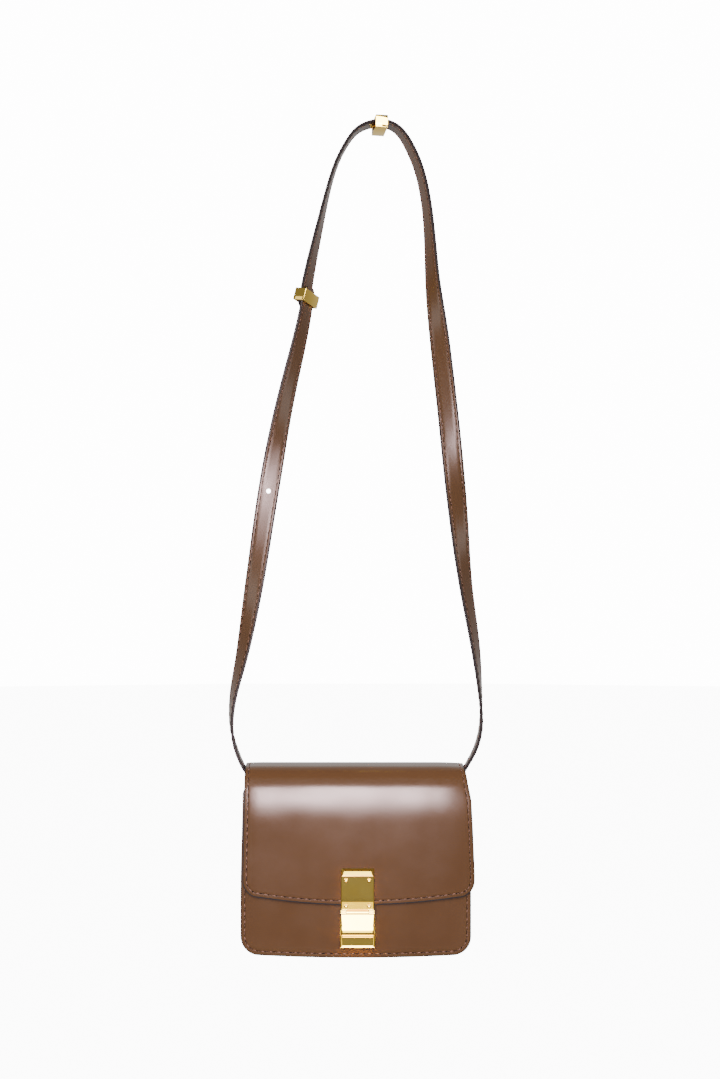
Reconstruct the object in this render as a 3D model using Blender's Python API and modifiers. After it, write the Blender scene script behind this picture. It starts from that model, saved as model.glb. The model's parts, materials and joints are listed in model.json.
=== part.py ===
import math

import bmesh
import bpy
import numpy as np
from mathutils import Matrix, Vector

# Box bag with a flap, a lever clasp and a long shoulder strap, hanging by its strap.
# Metres, +Z up, the front faces -Y. The origin is the hang point: the strap's inner face
# at the top of its loop. Heights of the bag's pieces are counted from the bag's lowest point.

# Fit
GAP = 0.0003  # between pieces that touch

# Body
BAG_WIDTH = 0.1825
BAG_HEIGHT = 0.1514  # to the top of the flap
BAG_DEPTH = 0.0460  # over the two panels
BAG_OFFSET = -0.0190  # the bag's middle from the hang point, as it hangs
PANEL_THICKNESS = 0.0022
PANEL_CORNER = 0.0150
PANEL_TOP_CORNER = 0.0080
PANEL_SAG = 0.0020
FRONT_TOP_DROP = 0.0145
BACK_TOP_DROP = 0.0128
LEAN_START = 0.0420  # below the flap's top, where the front starts to lean back
LEAN_RADIUS = 0.2000
EDGE_ZONE = 0.0020  # of a sheet's mesh, inside its round corners

# Gusset
GUSSET_WALL = 0.0016
GUSSET_FLANGE = 0.0052
GUSSET_BEND = 0.0020
GUSSET_EDGE_INSET = 0.0004
GUSSET_TOP_DROP = 0.0240
GUSSET_FOLD = 0.0040
GUSSET_FOLD_LENGTH = 0.0650
GUSSET_BAND = 0.0200  # flat band down the fold's middle

# Flap
FLAP_THICKNESS = 0.0024
FLAP_HALF_WIDTH = 0.0925
FLAP_EDGE_HEIGHT = 0.0423
FLAP_EDGE_SAG = 0.0060
FLAP_CORNER = 0.0130
FLAP_SHOULDER = 0.0110
FLAP_REAR_BEND = 0.0090
FLAP_CROWN = 0.0008
FLAP_LAP = 0.0140  # sewn over the back panel

# Side edges of the flap: share of its run from the back edge to the front edge,
# and how far each side reaches, as shares of FLAP_HALF_WIDTH
FLAP_SIDES = (
    # run, left, right
    (0.00, 0.953, 0.931),
    (0.33, 0.953, 0.931),
    (0.43, 0.957, 0.962),
    (0.50, 0.963, 0.988),
    (0.62, 0.972, 1.000),
    (0.85, 0.981, 1.017),
    (1.00, 0.980, 1.016),
)

# Clasp
CLASP_OFFSET = 0.0014  # from the bag's middle
CLASP_WIDTH = 0.0263
PLATE_THICKNESS = 0.0032
PLATE_HEIGHT = 0.0306
HINGE_BELOW_EDGE = 0.0052
BARREL_RADIUS = 0.0014
PIN_RADIUS = 0.0006
EAR_WIDTH = 0.0044
METAL_BEVEL = 0.0004
SCREW_RADIUS = 0.0016
SCREW_HEAD = 0.0012
SCREW_SIDE_INSET = 0.0041
SCREW_TOP_INSET = 0.0069
SCREW_LOW_INSET = 0.0036
LEVER_LENGTH = 0.0292
LEVER_THICKNESS = 0.0026
LEVER_DISH = 0.0010
LIP_WIDTH = 0.0272
LIP_HEIGHT = 0.0098
LIP_REACH = 0.0020  # in front of the lever's face
LIP_RAMP = 0.0028
RECESS_DEPTH = 0.0004
RECESS_MARGIN = 0.0022
CATCH_WIDTH = 0.0274
CATCH_HEIGHT = 0.0182
CATCH_BELOW_HINGE = 0.0052
CATCH_BASE = 0.0012
CATCH_TONGUE = 0.0070

# Strap
STRAP_WIDTH = 0.0170
STRAP_THICKNESS = 0.0024
STRAP_EDGE_ROUND = 0.0006
STRAP_DROP = 0.5136  # hang point to the top of the flap
STRAP_SIDE_GAP = 0.0007  # between the strap and the flap's side edge
STRAP_TAB = 0.0280  # sewn inside the gusset
STRAP_TIP_CORNER = 0.0060
STRAP_SPREAD_RUN = 0.0600  # over which the lapped ends come apart
PATH_STEP = 0.0010
STATION_STEP = 0.0110
STATION_BEND = math.radians(6)

# The strap as it hangs: share of STRAP_DROP, then for each side the reach, as a share of the
# way out to the flap's edge, and the turn in degrees from edge-on, inner face inwards
STRAP_RUN = (
    # drop, left reach, left turn, right reach, right turn
    (0.001, 0.081, 6, 0.139, 10),
    (0.010, 0.180, 4, 0.238, 13),
    (0.029, 0.236, 2, 0.320, 17),
    (0.048, 0.291, 2, 0.396, 19),
    (0.076, 0.342, 4, 0.472, 20),
    (0.120, 0.398, 8, 0.541, 22),
    (0.182, 0.461, 17, 0.587, 28),
    (0.245, 0.516, 26, 0.617, 40),
    (0.338, 0.594, 39, 0.699, 67),
    (0.464, 0.725, 59, 0.805, 81),
    (0.589, 0.829, 93, 0.899, 106),
    (0.714, 0.918, 115, 0.995, 139),
    (0.839, 1.020, 146, 1.135, 159),
    (0.901, 1.083, 162, 1.176, 174),
    (0.933, 1.094, 170, 1.187, 180),
    (0.956, 1.087, 176, 1.170, 182),
    (0.975, 1.063, 180, 1.126, 182),
)
APEX_TURN = 8
SEWN_TURN = 180

# Buckle, stud and keeper on the strap
BUCKLE_DROP = 0.1401
BUCKLE_LONG_TAIL = 0.0080  # the long strap's end, past the buckle's middle
BUCKLE_SHORT_TAIL = 0.0090
LOOP_WALL = 0.0012
LOOP_LENGTH = 0.0100
LOOP_SIDE_SLACK = 0.0030
LOOP_FACE_SLACK = 0.0026
LOOP_TILT = math.radians(8)
LOOP_REST = 0.0009  # from the strap's arch to the keeper's top wall
STUD_RADIUS = 0.0014
STUD_HEAD_RADIUS = 0.0030
STUD_HEAD = 0.0005
HOLE_RADIUS = 0.0018
HOLE_DROP = 0.2951

# What follows from the sizes
BOTTOM = -(STRAP_DROP + BAG_HEIGHT)
FRONT_FACE = -BAG_DEPTH / 2
BACK_FACE = BAG_DEPTH / 2
LEAN_HEIGHT = BAG_HEIGHT - LEAN_START
GUSSET_TOP = BAG_HEIGHT - GUSSET_TOP_DROP
FLAP_ARC_TOP = BAG_HEIGHT - FLAP_CROWN - FLAP_THICKNESS
FLAP_REAR = BACK_FACE + GAP
HINGE_HEIGHT = FLAP_EDGE_HEIGHT - HINGE_BELOW_EDGE
CLASP_X = BAG_OFFSET + CLASP_OFFSET
PLATE_BACK = FRONT_FACE - 2 * GAP - FLAP_THICKNESS
PLATE_FRONT = PLATE_BACK - PLATE_THICKNESS
HINGE_Y = PLATE_FRONT + BARREL_RADIUS
PLATE_BOTTOM = HINGE_HEIGHT + BARREL_RADIUS + GAP
PLATE_TOP = PLATE_BOTTOM + PLATE_HEIGHT
LEVER_TOP = HINGE_HEIGHT - BARREL_RADIUS - GAP
LEVER_BACK = PLATE_FRONT + LEVER_THICKNESS
LIP_BOTTOM = HINGE_HEIGHT - LEVER_LENGTH
LAYER_STEP = STRAP_THICKNESS + GAP
LOOP_INSIDE_WIDTH = STRAP_WIDTH + LOOP_SIDE_SLACK
LOOP_INSIDE_DEPTH = STRAP_THICKNESS + LAYER_STEP + LOOP_FACE_SLACK


# Scene and materials

def clear_scene():
    for obj in list(bpy.data.objects):
        bpy.data.objects.remove(obj, do_unlink=True)


def collection(name):
    made = bpy.data.collections.new(name)
    bpy.context.scene.collection.children.link(made)
    return made


def material(name, colour, roughness, metallic):
    made = bpy.data.materials.new(name)
    made.use_nodes = True
    shader = made.node_tree.nodes["Principled BSDF"]
    shader.inputs["Base Color"].default_value = (*colour, 1.0)
    shader.inputs["Roughness"].default_value = roughness
    shader.inputs["Metallic"].default_value = metallic
    return made


def leather(name):
    return material(name, (0.200, 0.078, 0.030), 0.35, 0.0)


def gold(name):
    return material(name, (0.830, 0.600, 0.240), 0.14, 1.0)


def place(name, bm, finish, group):
    mesh = bpy.data.meshes.new(name)
    bm.to_mesh(mesh)
    bm.free()
    mesh.materials.append(finish)
    obj = bpy.data.objects.new(name, mesh)
    group.objects.link(obj)
    return obj


def place_cutter(name, bm):
    obj = place(name, bm, cutter_finish, cutters)
    obj.hide_render = True
    obj.display_type = "WIRE"
    return obj


def cut(obj, cutter):
    boolean = obj.modifiers.new(cutter.name, "BOOLEAN")
    boolean.operation = "DIFFERENCE"
    boolean.object = cutter


def round_edges(obj, width, segments):
    bevel = obj.modifiers.new("rounded_edges", "BEVEL")
    bevel.width = width
    bevel.segments = segments
    bevel.limit_method = "ANGLE"


def thicken(obj, thickness, outwards):
    wall = obj.modifiers.new("wall", "SOLIDIFY")
    wall.thickness = thickness
    wall.offset = 1.0 if outwards else -1.0
    wall.use_even_offset = True


def smooth(obj):
    obj.data.shade_smooth()
    obj.data.set_sharp_from_angle(angle=math.radians(35))


# Leather sheets

# How far a sheet's end rises from its middle to x: a shallow sag, then a round corner
def end_rise(x, half_width, sag, corner):
    straight = half_width - corner
    across = abs(x)
    if across <= straight:
        return sag * (across / straight) ** 2
    inside = min(across - straight, corner)
    return sag + corner - math.sqrt(corner**2 - inside**2)


# Columns across a sheet from -1 to 1, close together round its corners
def sheet_columns(half_width, corner, middle=8, round_steps=5):
    straight = 1 - corner / half_width
    turns = [math.sin(math.pi / 2 * step / round_steps) for step in range(1, round_steps + 1)]
    side = [straight + corner / half_width * turn for turn in turns]
    centre = [straight * (2 * step / middle - 1) for step in range(middle + 1)]
    return [-share for share in reversed(side)] + centre + side


# An open sheet from columns of points, each running from one end to the other
def grid_sheet(columns):
    bm = bmesh.new()
    lines = [[bm.verts.new(point) for point in column] for column in columns]
    for near, far in zip(lines, lines[1:]):
        for step in range(len(near) - 1):
            bm.faces.new((near[step], far[step], far[step + 1], near[step + 1]))
    return bm


# Turns a sheet over where its first face looks the other way
def face_towards(obj, direction):
    if obj.data.polygons[0].normal.dot(Vector(direction)) < 0:
        obj.data.flip_normals()


# The front panel's outer face leans back near its top
def front_face(height):
    lean = max(0.0, height - LEAN_HEIGHT)
    return FRONT_FACE + lean**2 / (2 * LEAN_RADIUS)


def back_face(height):
    return BACK_FACE


def panel_columns(face, top):
    half = BAG_WIDTH / 2
    body_low = PANEL_SAG + PANEL_CORNER + EDGE_ZONE
    body_high = top - PANEL_TOP_CORNER - EDGE_ZONE
    body = [body_low + (LEAN_HEIGHT - body_low) * share for share in (0.0, 0.33, 0.67, 1.0)]
    body += [LEAN_HEIGHT + (body_high - LEAN_HEIGHT) * share for share in (0.35, 0.7, 1.0)]
    columns = []
    for share in sheet_columns(half, PANEL_CORNER):
        x = share * half
        low = end_rise(x, half, PANEL_SAG, PANEL_CORNER)
        high = top - end_rise(x, half, 0.0, PANEL_TOP_CORNER)
        heights = [low + (body_low - low) * row for row in (0.0, 0.25, 0.6)] + body
        heights += [body_high + (high - body_high) * row for row in (0.5, 1.0)]
        columns.append([(BAG_OFFSET + x, face(height), BOTTOM + height) for height in heights])
    return columns


def front_panel():
    columns = panel_columns(front_face, BAG_HEIGHT - FRONT_TOP_DROP)
    obj = place("front_panel", grid_sheet(columns), leather("front_panel"), bag)
    face_towards(obj, (0, -1, 0))
    thicken(obj, PANEL_THICKNESS, outwards=False)
    smooth(obj)


def back_panel():
    columns = panel_columns(back_face, BAG_HEIGHT - BACK_TOP_DROP)
    obj = place("back_panel", grid_sheet(columns), leather("back_panel"), bag)
    face_towards(obj, (0, 1, 0))
    thicken(obj, PANEL_THICKNESS, outwards=False)
    smooth(obj)


# Gusset

# How far the gusset's side walls fold in, deepest at the top
def fold_depth(height):
    return GUSSET_FOLD * max(0.0, 1 - (GUSSET_TOP - height) / GUSSET_FOLD_LENGTH)


# The panels' outline from the left top corner round the bottom to the right one: each
# point with its inward normal, in X and height
def gusset_outline(side_steps=7, corner_steps=6, bottom_steps=6):
    half = BAG_WIDTH / 2
    corner_x = half - PANEL_CORNER
    corner_height = PANEL_SAG + PANEL_CORNER
    side = [(-half, GUSSET_TOP + (corner_height - GUSSET_TOP) * step / side_steps)
            for step in range(side_steps)]
    points = [(x, height, (1.0, 0.0)) for x, height in side]
    for step in range(corner_steps + 1):
        angle = math.pi / 2 * step / corner_steps
        inward = (math.cos(angle), math.sin(angle))
        points.append((-corner_x - PANEL_CORNER * inward[0],
                       corner_height - PANEL_CORNER * inward[1], inward))
    for step in range(1, bottom_steps // 2 + 1):
        x = -corner_x * (1 - 2 * step / bottom_steps)
        points.append((x, end_rise(x, half, PANEL_SAG, PANEL_CORNER), (0.0, 1.0)))
    mirrored = [(-x, height, (-inward[0], inward[1])) for x, height, inward in points[-2::-1]]
    return points + mirrored


# Across the gusset: two flanges against the panels, and a wall that folds inwards
def gusset_section(height):
    front = front_face(height) + PANEL_THICKNESS + GAP
    back = BACK_FACE - PANEL_THICKNESS - GAP
    middle = (front + back) / 2
    wall = GUSSET_FLANGE
    folded = wall + fold_depth(height)
    half = [
        (front, GUSSET_EDGE_INSET),
        (front, wall - GUSSET_BEND),
        (front + GUSSET_BEND, wall),
        (middle - GUSSET_BAND / 2, folded),
    ]
    return half + [(front + back - y, inset) for y, inset in reversed(half)]


def gusset():
    columns = []
    for x, height, inward in gusset_outline():
        column = []
        for y, inset in gusset_section(height):
            column.append((BAG_OFFSET + x + inset * inward[0], y,
                           BOTTOM + height + inset * inward[1]))
        columns.append(column)
    obj = place("gusset", grid_sheet(columns), leather("gusset"), bag)
    face_towards(obj, (0, -1, 0))
    thicken(obj, GUSSET_WALL, outwards=False)
    smooth(obj)


# Flap

# The inner face's run in depth and height, from the back edge over the top to the front,
# ending where the front edge's corners begin
def flap_run(arc_steps=6):
    back_edge = BAG_HEIGHT - BACK_TOP_DROP - FLAP_LAP
    rear_centre = (FLAP_REAR - FLAP_REAR_BEND, FLAP_ARC_TOP - FLAP_REAR_BEND)
    run = [(FLAP_REAR, back_edge), (FLAP_REAR, (back_edge + rear_centre[1]) / 2)]
    for step in range(arc_steps + 1):
        angle = math.pi / 2 * step / arc_steps
        run.append((rear_centre[0] + FLAP_REAR_BEND * math.cos(angle),
                    rear_centre[1] + FLAP_REAR_BEND * math.sin(angle)))
    lean = math.asin((FLAP_ARC_TOP - FLAP_SHOULDER - LEAN_HEIGHT) / (LEAN_RADIUS - FLAP_SHOULDER))
    shoulder_height = FLAP_ARC_TOP - FLAP_SHOULDER * (1 - math.sin(lean))
    shoulder_y = front_face(shoulder_height) - GAP
    front_centre = (shoulder_y + FLAP_SHOULDER * math.cos(lean), FLAP_ARC_TOP - FLAP_SHOULDER)
    run.append(((rear_centre[0] + front_centre[0]) / 2, FLAP_ARC_TOP + FLAP_CROWN))
    for step in range(arc_steps + 1):
        angle = math.pi / 2 - (math.pi / 2 - lean) * step / arc_steps
        run.append((front_centre[0] - FLAP_SHOULDER * math.cos(angle),
                    front_centre[1] + FLAP_SHOULDER * math.sin(angle)))
    body_end = FLAP_EDGE_HEIGHT + FLAP_EDGE_SAG + FLAP_CORNER + EDGE_ZONE
    lean_run = LEAN_HEIGHT - shoulder_height
    heights = [shoulder_height + lean_run * share for share in (0.33, 0.67, 1.0)]
    heights += [LEAN_HEIGHT + (body_end - LEAN_HEIGHT) * share for share in (0.5, 1.0)]
    run += [(front_face(height) - GAP, height) for height in heights]
    return run


def flap():
    run = flap_run()
    body_end = run[-1]
    lengths = [0.0]
    for near, far in zip(run, run[1:]):
        lengths.append(lengths[-1] + math.dist(near, far))
    full = lengths[-1] + body_end[1] - FLAP_EDGE_HEIGHT
    shares, left, right = zip(*FLAP_SIDES)
    columns = []
    for across in sheet_columns(FLAP_HALF_WIDTH, FLAP_CORNER, middle=10):
        reach = left if across < 0 else right
        rise = end_rise(across * FLAP_HALF_WIDTH, FLAP_HALF_WIDTH, FLAP_EDGE_SAG, FLAP_CORNER)
        edge = FLAP_EDGE_HEIGHT + rise
        points = list(zip(run, lengths))
        for row in (0.35, 0.7, 1.0):
            height = body_end[1] + (edge - body_end[1]) * row
            points.append(((body_end[0], height), lengths[-1] + body_end[1] - height))
        column = []
        for (y, height), length in points:
            out = FLAP_HALF_WIDTH * np.interp(length / full, shares, reach)
            column.append((BAG_OFFSET + across * out, y, BOTTOM + height))
        columns.append(column)
    obj = place("flap", grid_sheet(columns), leather("flap"), bag)
    face_towards(obj, (0, 1, 0))
    thicken(obj, FLAP_THICKNESS, outwards=True)
    smooth(obj)


# Clasp

# A bar across the clasp from its outline in depth and height
def profile_bar(outline, left, right):
    bm = bmesh.new()
    end = bm.faces.new([bm.verts.new((left, y, BOTTOM + height)) for y, height in outline])
    made = bmesh.ops.extrude_face_region(bm, geom=[end])
    moved = [item for item in made["geom"] if isinstance(item, bmesh.types.BMVert)]
    bmesh.ops.translate(bm, verts=moved, vec=(right - left, 0, 0))
    bmesh.ops.recalc_face_normals(bm, faces=bm.faces)
    return bm


# A solid cylinder between two points
def rod(start, end, radius, sides=16):
    start, end = Vector(start), Vector(end)
    bm = bmesh.new()
    turn = Vector((0, 0, 1)).rotation_difference(end - start).to_matrix().to_4x4()
    bmesh.ops.create_cone(
        bm, cap_ends=True, segments=sides, radius1=radius, radius2=radius,
        depth=(end - start).length, matrix=Matrix.Translation((start + end) / 2) @ turn,
    )
    return bm


def block(low, high):
    low, high = Vector(low), Vector(high)
    bm = bmesh.new()
    matrix = Matrix.Translation((low + high) / 2) @ Matrix.Diagonal((*(high - low), 1.0))
    bmesh.ops.create_cube(bm, size=1.0, matrix=matrix)
    return bm


# Half a round, on the hinge's axis, closed off straight to the piece it belongs to
def knuckle_outline(stop_height, upwards, steps=8):
    side = 1 if upwards else -1
    outline = [(HINGE_Y - BARREL_RADIUS, stop_height)]
    for step in range(steps + 1):
        angle = math.pi * step / steps
        outline.append((HINGE_Y - BARREL_RADIUS * math.cos(angle),
                        HINGE_HEIGHT - side * BARREL_RADIUS * math.sin(angle)))
    outline.append((HINGE_Y + BARREL_RADIUS, stop_height))
    return outline


def hinge_bore():
    half = CLASP_WIDTH
    axis_z = BOTTOM + HINGE_HEIGHT
    start = (CLASP_X - half, HINGE_Y, axis_z)
    end = (CLASP_X + half, HINGE_Y, axis_z)
    return place_cutter("hinge_bore", rod(start, end, PIN_RADIUS + GAP))


def join(obj, other):
    union = obj.modifiers.new(other.name, "BOOLEAN")
    union.operation = "UNION"
    union.object = other


def screw_centres():
    centres = []
    for height in (PLATE_TOP - SCREW_TOP_INSET, PLATE_BOTTOM + SCREW_LOW_INSET):
        for side in (-1, 1):
            centres.append((CLASP_X + side * (CLASP_WIDTH / 2 - SCREW_SIDE_INSET), BOTTOM + height))
    return centres


def clasp_plate(bore):
    half = CLASP_WIDTH / 2
    outline = [
        (PLATE_BACK, PLATE_BOTTOM),
        (PLATE_BACK, PLATE_TOP),
        (PLATE_FRONT, PLATE_TOP),
        (PLATE_FRONT, PLATE_BOTTOM),
    ]
    bar = profile_bar(outline, CLASP_X - half, CLASP_X + half)
    obj = place("clasp_plate", bar, gold("clasp_plate"), bag)
    ear = knuckle_outline(PLATE_BOTTOM + BARREL_RADIUS, upwards=True)
    for side, name in ((-1, "left_ear"), (1, "right_ear")):
        edges = sorted((CLASP_X + side * half, CLASP_X + side * (half - EAR_WIDTH)))
        join(obj, place_cutter(name, profile_bar(ear, *edges)))
    cut(obj, bore)
    seat = PLATE_FRONT + SCREW_HEAD + GAP
    for index, (x, z) in enumerate(screw_centres(), 1):
        sink = rod((x, PLATE_FRONT - SCREW_HEAD, z), (x, seat, z), SCREW_RADIUS + GAP)
        cut(obj, place_cutter(f"screw_sink_{index}", sink))


def clasp_screws():
    for index, (x, z) in enumerate(screw_centres(), 1):
        head = rod((x, PLATE_FRONT, z), (x, PLATE_FRONT + SCREW_HEAD, z), SCREW_RADIUS)
        smooth(place(f"clasp_screw_{index}", head, gold(f"clasp_screw_{index}"), bag))


def clasp_hinge_pin():
    half = CLASP_WIDTH / 2
    axis_z = BOTTOM + HINGE_HEIGHT
    pin = rod((CLASP_X - half, HINGE_Y, axis_z), (CLASP_X + half, HINGE_Y, axis_z), PIN_RADIUS, 12)
    smooth(place("clasp_hinge_pin", pin, gold("clasp_hinge_pin"), bag))


# The lever's face dishes in and its lip stands out again for the finger
def lever_outline():
    lip_top = LIP_BOTTOM + LIP_HEIGHT
    lip_front = PLATE_FRONT - LIP_REACH
    return [
        (LEVER_BACK, LEVER_TOP),
        (PLATE_FRONT, LEVER_TOP),
        (PLATE_FRONT + LEVER_DISH, lip_top + LIP_RAMP),
        (lip_front, lip_top),
        (lip_front, LIP_BOTTOM),
        (LEVER_BACK, LIP_BOTTOM),
    ]


def clasp_lever(bore):
    half = CLASP_WIDTH / 2
    body = profile_bar(lever_outline(), -half, half)
    hinge = Vector((CLASP_X, HINGE_Y, BOTTOM + HINGE_HEIGHT))
    bmesh.ops.translate(body, verts=body.verts, vec=(0, -hinge.y, -hinge.z))
    obj = place("clasp_lever", body, gold("clasp_lever"), bag)
    obj.location = hinge
    inner = half - EAR_WIDTH - GAP
    barrel = knuckle_outline(LEVER_TOP - BARREL_RADIUS, upwards=False)
    join(obj, place_cutter("lever_barrel", profile_bar(barrel, CLASP_X - inner, CLASP_X + inner)))
    lip_front = PLATE_FRONT - LIP_REACH
    lip_half = LIP_WIDTH / 2
    lip = block(
        (CLASP_X - lip_half, lip_front, BOTTOM + LIP_BOTTOM),
        (CLASP_X + lip_half, LEVER_BACK, BOTTOM + LIP_BOTTOM + LIP_HEIGHT),
    )
    join(obj, place_cutter("lever_lip", lip))
    cut(obj, bore)
    recess_half = lip_half - RECESS_MARGIN
    recess_low = BOTTOM + LIP_BOTTOM + RECESS_MARGIN
    recess_high = BOTTOM + LIP_BOTTOM + LIP_HEIGHT - RECESS_MARGIN
    recess = block(
        (CLASP_X - recess_half, lip_front - RECESS_DEPTH, recess_low),
        (CLASP_X + recess_half, lip_front + RECESS_DEPTH, recess_high),
    )
    cut(obj, place_cutter("lip_recess", recess))


# The catch sits on the front panel behind the lever: a base plate with a raised tongue
def clasp_catch():
    top = HINGE_HEIGHT - CATCH_BELOW_HINGE
    low = top - CATCH_HEIGHT
    seat = FRONT_FACE - GAP
    tongue = LEVER_BACK + GAP
    middle = (top + low) / 2
    outline = [
        (seat, low),
        (seat, top),
        (seat - CATCH_BASE, top),
        (seat - CATCH_BASE, middle + CATCH_TONGUE / 2),
        (tongue, middle + CATCH_TONGUE / 2),
        (tongue, middle - CATCH_TONGUE / 2),
        (seat - CATCH_BASE, middle - CATCH_TONGUE / 2),
        (seat - CATCH_BASE, low),
    ]
    bar = profile_bar(outline, CLASP_X - CATCH_WIDTH / 2, CLASP_X + CATCH_WIDTH / 2)
    place("clasp_catch", bar, gold("clasp_catch"), bag)


# Strap

# Where the strap passes the flap's side edge, beside the flap's top
def side_edge(side):
    reach = FLAP_SIDES[0][1] if side < 0 else FLAP_SIDES[0][2]
    out = FLAP_HALF_WIDTH * reach + STRAP_SIDE_GAP + STRAP_THICKNESS / 2
    return BAG_OFFSET + side * out


# The strap goes in over the gusset's top edge and lies sewn against its inner face
def sewn_end(side):
    points = [(side_edge(side), -STRAP_DROP - FLAP_CROWN - FLAP_THICKNESS, SEWN_TURN)]
    lean = math.atan(GUSSET_FOLD / GUSSET_FOLD_LENGTH)
    inner = (GUSSET_WALL + STRAP_THICKNESS / 2) / math.cos(lean) + GAP * 2
    for share in (-0.15, 0.10, 0.40, 0.70, 1.0):
        height = GUSSET_TOP - STRAP_TAB * share
        fold = GUSSET_FOLD * (1 - (GUSSET_TOP - height) / GUSSET_FOLD_LENGTH)
        inset = GUSSET_FLANGE + fold + inner
        points.append((BAG_OFFSET + side * (BAG_WIDTH / 2 - inset), BOTTOM + height, SEWN_TURN))
    return points


# The whole centre line in X, Z and turn, from the right sewn end over the top to the left
def strap_points():
    right = []
    left = []
    for drop, left_reach, left_turn, right_reach, right_turn in STRAP_RUN:
        left.append((side_edge(-1) * left_reach, -drop * STRAP_DROP, left_turn))
        right.append((side_edge(1) * right_reach, -drop * STRAP_DROP, right_turn))
    apex = [(0.0, STRAP_THICKNESS / 2, APEX_TURN)]
    return (right + sewn_end(1))[::-1] + apex + left + sewn_end(-1)


# A smooth curve through the points, read every PATH_STEP along it
def strap_path():
    points = np.array(strap_points())
    chords = np.linalg.norm(np.diff(points[:, :2], axis=0), axis=1)
    knots = np.concatenate([[0.0], np.cumsum(chords)])
    slopes = np.gradient(points, knots, axis=0)
    at = np.linspace(0.0, knots[-1], int(knots[-1] / PATH_STEP) + 1)
    segment = np.clip(np.searchsorted(knots, at, side="right") - 1, 0, len(knots) - 2)
    span = (knots[segment + 1] - knots[segment])[:, None]
    t = ((at - knots[segment])[:, None]) / span
    start, end = points[segment], points[segment + 1]
    out, into = slopes[segment] * span, slopes[segment + 1] * span
    bend = (2 * t**3 - 3 * t**2 + 1) * start + (t**3 - 2 * t**2 + t) * out
    bend += (3 * t**2 - 2 * t**3) * end + (t**3 - t**2) * into
    lengths = np.linalg.norm(np.diff(bend[:, :2], axis=0), axis=1)
    return np.concatenate([[0.0], np.cumsum(lengths)]), bend


# Position, direction, width and face of the strap at a length along its centre line
def strap_frame(path, length):
    lengths, bend = path
    tangents = np.gradient(bend[:, :2], lengths, axis=0)
    x, z, turn = (np.interp(length, lengths, bend[:, column]) for column in range(3))
    along = Vector((np.interp(length, lengths, tangents[:, 0]), 0.0,
                    np.interp(length, lengths, tangents[:, 1]))).normalized()
    inward = Vector((-along.z, 0.0, along.x))
    turn = math.radians(turn)
    face = inward * math.cos(turn) + Vector((0, -1, 0)) * math.sin(turn)
    return Vector((x, 0.0, z)), along, along.cross(face), face


# The length at which the left side hangs this far below the hang point
def length_at_drop(path, drop):
    lengths, bend = path
    top = int(np.argmax(bend[:, 1]))
    return float(np.interp(drop, -bend[top:, 1], lengths[top:]))


# Lengths for the strap's sections: close where it bends or turns, wide where it is straight
def stations(path, start, end):
    found = [start]
    _, along, across, _ = strap_frame(path, start)
    for length in np.arange(start, end, PATH_STEP)[1:]:
        _, new_along, new_across, _ = strap_frame(path, length)
        bend = max(along.angle(new_along), across.angle(new_across))
        if length - found[-1] >= STATION_STEP or bend >= STATION_BEND:
            found.append(float(length))
            along, across = new_along, new_across
    if end - found[-1] < PATH_STEP:
        found.pop()
    return found + [end]


# Half the strap's width, narrowing round the corners of a tip
def half_width_at(from_tip):
    if from_tip >= STRAP_TIP_CORNER:
        return STRAP_WIDTH / 2
    inside = STRAP_TIP_CORNER - from_tip
    return STRAP_WIDTH / 2 - STRAP_TIP_CORNER + math.sqrt(STRAP_TIP_CORNER**2 - inside**2)


def strap_section(frame, offset, half_width):
    position, along, across, face = frame
    half = STRAP_THICKNESS / 2
    edge = STRAP_EDGE_ROUND
    corner = [
        (half_width, half - edge),
        (half_width - edge, half),
        (-half_width + edge, half),
        (-half_width, half - edge),
    ]
    ring = corner + [(-w, -n) for w, n in corner]
    return [position + across * w + face * (n + offset) for w, n in ring]


# A lofted strap between two lengths. The lapped layer lies beside the centre line at the
# buckle, and runs back onto it over STRAP_SPREAD_RUN
def strap(name, path, start, end, tip, layer):
    buckle = length_at_drop(path, BUCKLE_DROP)
    lengths = stations(path, start, end)
    inwards = 1 if tip == start else -1
    tip_steps = [tip + inwards * STRAP_TIP_CORNER * share for share in (0.12, 0.4, 1.0)]
    lengths = sorted(set(lengths + tip_steps))
    bm = bmesh.new()
    rings = []
    for length in lengths:
        away = max(0.0, abs(length - buckle) - LOOP_LENGTH)
        share = min(1.0, away / STRAP_SPREAD_RUN)
        offset = layer * LAYER_STEP / 2 * (1 - share**2 * (3 - 2 * share))
        ring = strap_section(strap_frame(path, length), offset, half_width_at(abs(length - tip)))
        rings.append([bm.verts.new(point) for point in ring])
    for near, far in zip(rings, rings[1:]):
        for index in range(len(near)):
            after = (index + 1) % len(near)
            bm.faces.new((near[index], near[after], far[after], far[index]))
    bm.faces.new(rings[0])
    bm.faces.new(rings[-1])
    bmesh.ops.recalc_face_normals(bm, faces=bm.faces)
    obj = place(name, bm, leather(name), bag)
    smooth(obj)
    return obj


def straps(path):
    buckle = length_at_drop(path, BUCKLE_DROP)
    whole = float(path[0][-1])
    tip = buckle + BUCKLE_LONG_TAIL
    long_strap = strap("strap_long", path, 0.0, tip, tip, -1)
    tip = buckle - BUCKLE_SHORT_TAIL
    short_strap = strap("strap_short", path, tip, whole, tip, 1)
    through = STRAP_WIDTH
    position, _, _, face = strap_frame(path, buckle)
    stud_hole = place_cutter("stud_hole", rod(position - face * through, position + face * through,
                                              STUD_RADIUS + GAP, 12))
    cut(long_strap, stud_hole)
    cut(short_strap, stud_hole)
    position, _, _, face = strap_frame(path, length_at_drop(path, HOLE_DROP))
    spare = rod(position - face * through, position + face * through, HOLE_RADIUS, 12)
    cut(short_strap, place_cutter("spare_hole", spare))


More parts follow.
